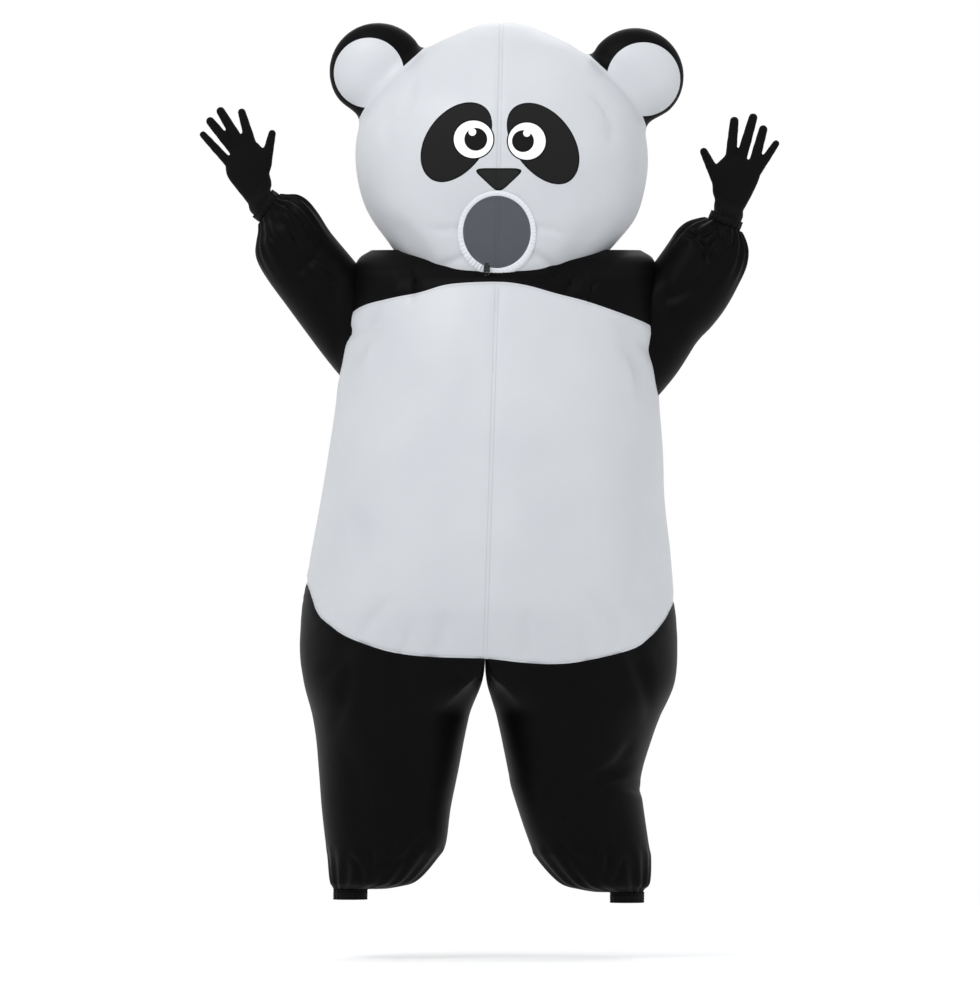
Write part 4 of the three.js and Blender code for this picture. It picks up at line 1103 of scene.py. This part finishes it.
def studs(places, size, lean=0.0):
    """Small rounded bumps at places (x, y, z), each an eight-sided bead of the half sizes given."""
    a = turns(8)
    rings = [np.stack([r * np.cos(a), 0 * a + y, r * np.sin(a)], -1) for r, y in ((1, -0.5), (0.7, 1))]
    bead = np.vstack(rings) * size
    bead[:, 2] += lean * bead[:, 0]
    faces = [[i, (i + 1) % 8, 8 + (i + 1) % 8, 8 + i] for i in range(8)]
    faces += [list(range(7, -1, -1)), list(range(8, 16))]
    points = (np.array(places)[:, None, :] + bead).reshape(-1, 3)
    every = [[v + 16 * k for v in face] for k in range(len(places)) for face in faces]
    return outward(mesh_piece("part", points, every))


parts = [tape_form]
z = np.arange(ZIP["bottom"] + 12, ZIP["top"] - 26, 2.0)
for dx, up in ((-1.3, 0.0), (1.3, 1.0)):
    coil = np.stack([zip_x(z + up) + dx, back_y(zip_x(z), z) + 1.5, z + up], -1)
    parts.append(studs(coil, (1.5, 0.9, 0.55), 0.25 * np.sign(dx)))
z = np.arange(ZIP["bottom"] + 4, ZIP["top"] - 4, 3.4)
for dx in (-11.5, 11.5):
    stitch_row = np.stack([zip_x(z) + dx, back_y(zip_x(z) + dx, z) + 1.2, z], -1)
    parts.append(studs(stitch_row, (0.45, 0.5, 1.2)))
tape = joined("zip_tape_and_coil", parts)
finished(tape, "zip_tape", zip_tape)

# Blower: a moulded housing of black plastic clamped through the back panel with four screws, a
# guard in front of it, and an impeller with seven twisted blades that turns on the motor's pin.
HOUSING = dict(wall=2.5, flange=56.0, deep=34.0, proud=3.0)


def hoop_of(profile, sides=96):
    """A ring turned round the blower's axis from a closed loop of (radius, height) pairs."""
    rows = np.array(profile, float)
    a = turns(sides)[:, None]
    around = [rows[:, 0] * np.cos(a), rows[:, 0] * np.sin(a), rows[:, 1] + 0 * a]
    return ring_mesh("part", onto_back(np.stack(around, -1)))


def bar(start, end, low, high, width, angle, twist=0.0):
    """A straight bar along a spoke, between two radii and two heights, twisted about its length."""
    a, b = math.cos(angle), math.sin(angle)
    c, s = math.cos(twist), math.sin(twist)
    middle, tall = (low + high) / 2, (high - low) / 2
    corners = []
    for r in (start, end):
        for v, w in ((-width / 2, -tall), (width / 2, -tall), (width / 2, tall), (-width / 2, tall)):
            across, out = v * c - w * s, middle + v * s + w * c
            corners.append((r * a - across * b, r * b + across * a, out))
    faces = [(0, 1, 2, 3), (7, 6, 5, 4), (0, 4, 5, 1), (1, 5, 6, 2), (2, 6, 7, 3), (3, 7, 4, 0)]
    return outward(mesh_piece("part", onto_back(corners), faces))


bore, flange, proud = BLOWER["bore"], HOUSING["flange"], HOUSING["proud"]
out = bore + HOUSING["wall"]
deep = HOUSING["deep"]
barrel_and_flange = [
    (bore, -deep), (out, -deep), (out, -6), (flange - 1, -6), (flange, -5), (flange, proud - 1.5),
    (flange - 1.5, proud), (bore + 1, proud), (bore, proud - 1),
]
motor = [(0.01, -deep), (15, -deep), (15, -15), (14, -14), (0.01, -14)]
parts = [hoop_of(barrel_and_flange), hoop_of(motor, 48)]
parts += [bar(14, bore + 1, -deep, -deep + 4, 5, 2 * math.pi * i / 3) for i in range(3)]
for i in range(4):
    a = math.pi / 4 + i * math.pi / 2
    u, v = 49.5 * math.cos(a), 49.5 * math.sin(a)
    screw = turned(rounded(2.4, proud - 1, proud + 0.2, 0.4), (u, v, 0), 20)
    parts.append(skin("part", onto_back(screw)))
housing = joined("blower_housing_moulding", parts)
finished(housing, "blower_housing", black_plastic)
low, high = proud + 0.3, proud + 2.7


def guard_ring(inner, outer):
    """A flat ring of the guard with its two outer edges bevelled by 0.6 mm."""
    return hoop_of([
        (inner, low), (outer, low), (outer, high - 0.6), (outer - 0.6, high), (inner + 0.6, high),
        (inner, high - 0.6),
    ])


parts = [guard_ring(bore - 1, flange - 3.2), guard_ring(29, 32), guard_ring(17, 20), guard_ring(0.01, 8)]
parts += [bar(6, bore, low, high - 0.1, 3, 2 * math.pi * i / 4) for i in range(4)]
guard = joined("blower_guard_moulding", parts)
finished(guard, "blower_grille", black_plastic)
hub = [(1.9, -13.7), (14, -13.7), (14, -4), (13, -3), (0.01, -3), (0.01, -4.6), (1.9, -4.6)]
parts = [hoop_of(hub, 48)]
parts += [bar(12, bore - 1.5, -9.1, -7.5, 12, 2 * math.pi * i / 7, 0.6) for i in range(7)]
fan = joined("impeller_moulding", parts)
finished(fan, "impeller", black_plastic, body="fan")

# Zip slider and pull: zinc castings, plated and tumbled smooth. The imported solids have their
# whole form, so these two keep it and get the metal.
zip_metal, _ = new_material("cast_zinc_slider", Base_Color=linear("#b9babd"), Roughness=0.35,
                            Metallic=0.85)
for node in ("zip_slider", "zip_pull"):
    piece = frame["nodes"][node]
    piece.data.materials.clear()
    piece.data.materials.append(zip_metal)

# Stage: a round sheet of matt pale paper as the floor, three large soft lights and an even
# white surround. The forms that were only cut from are removed first.
for spare in [o for o in bpy.context.scene.objects if o.name.startswith("form_")]:
    bpy.data.objects.remove(spare)

floor_z = -1.479
floor_ring = np.stack([5 * np.cos(turns(96)), 5 * np.sin(turns(96)), np.full(96, floor_z)], -1)
stage = mesh_piece("stage_floor", floor_ring / MM, [range(96)])
paper, _ = new_material("matt_paper_floor", Base_Color=linear("#f4f5f6"), Roughness=0.9,
                        Emission_Color=linear("#ffffff"), Emission_Strength=0.08)
stage.data.materials.append(paper)


def soft_light(name, size, power_w, place, aim):
    """A square area light at a place, turned towards a point."""
    light = bpy.data.lights.new(name, "AREA")
    light.shape, light.size, light.energy = "SQUARE", size, power_w
    lamp = bpy.data.objects.new(name, light)
    lamp.location = place
    direction = np.array(aim) - np.array(place)
    yaw = math.atan2(direction[0], -direction[1])
    pitch = math.atan2(-direction[2], math.hypot(direction[0], direction[1]))
    lamp.rotation_euler = (math.pi / 2 - pitch, 0, math.pi + yaw)
    bpy.context.scene.collection.objects.link(lamp)


soft_light("key_light", 1.3, 72, (-1.5, -2.6, 3.2), (0, 0, -0.2))
soft_light("fill_light", 1.6, 8, (2.6, -3.0, 1.0), (0, 0, -0.4))
soft_light("back_light", 2.0, 24, (0.4, 2.6, 2.4), (0, 0, -0.2))
world = bpy.data.worlds.new("surround")
bpy.context.scene.world = world
world.use_nodes = True
world.node_tree.nodes["Background"].inputs["Color"].default_value = linear("#ffffff")
world.node_tree.nodes["Background"].inputs["Strength"].default_value = 1.0
bpy.context.scene.view_settings.view_transform = "Standard"
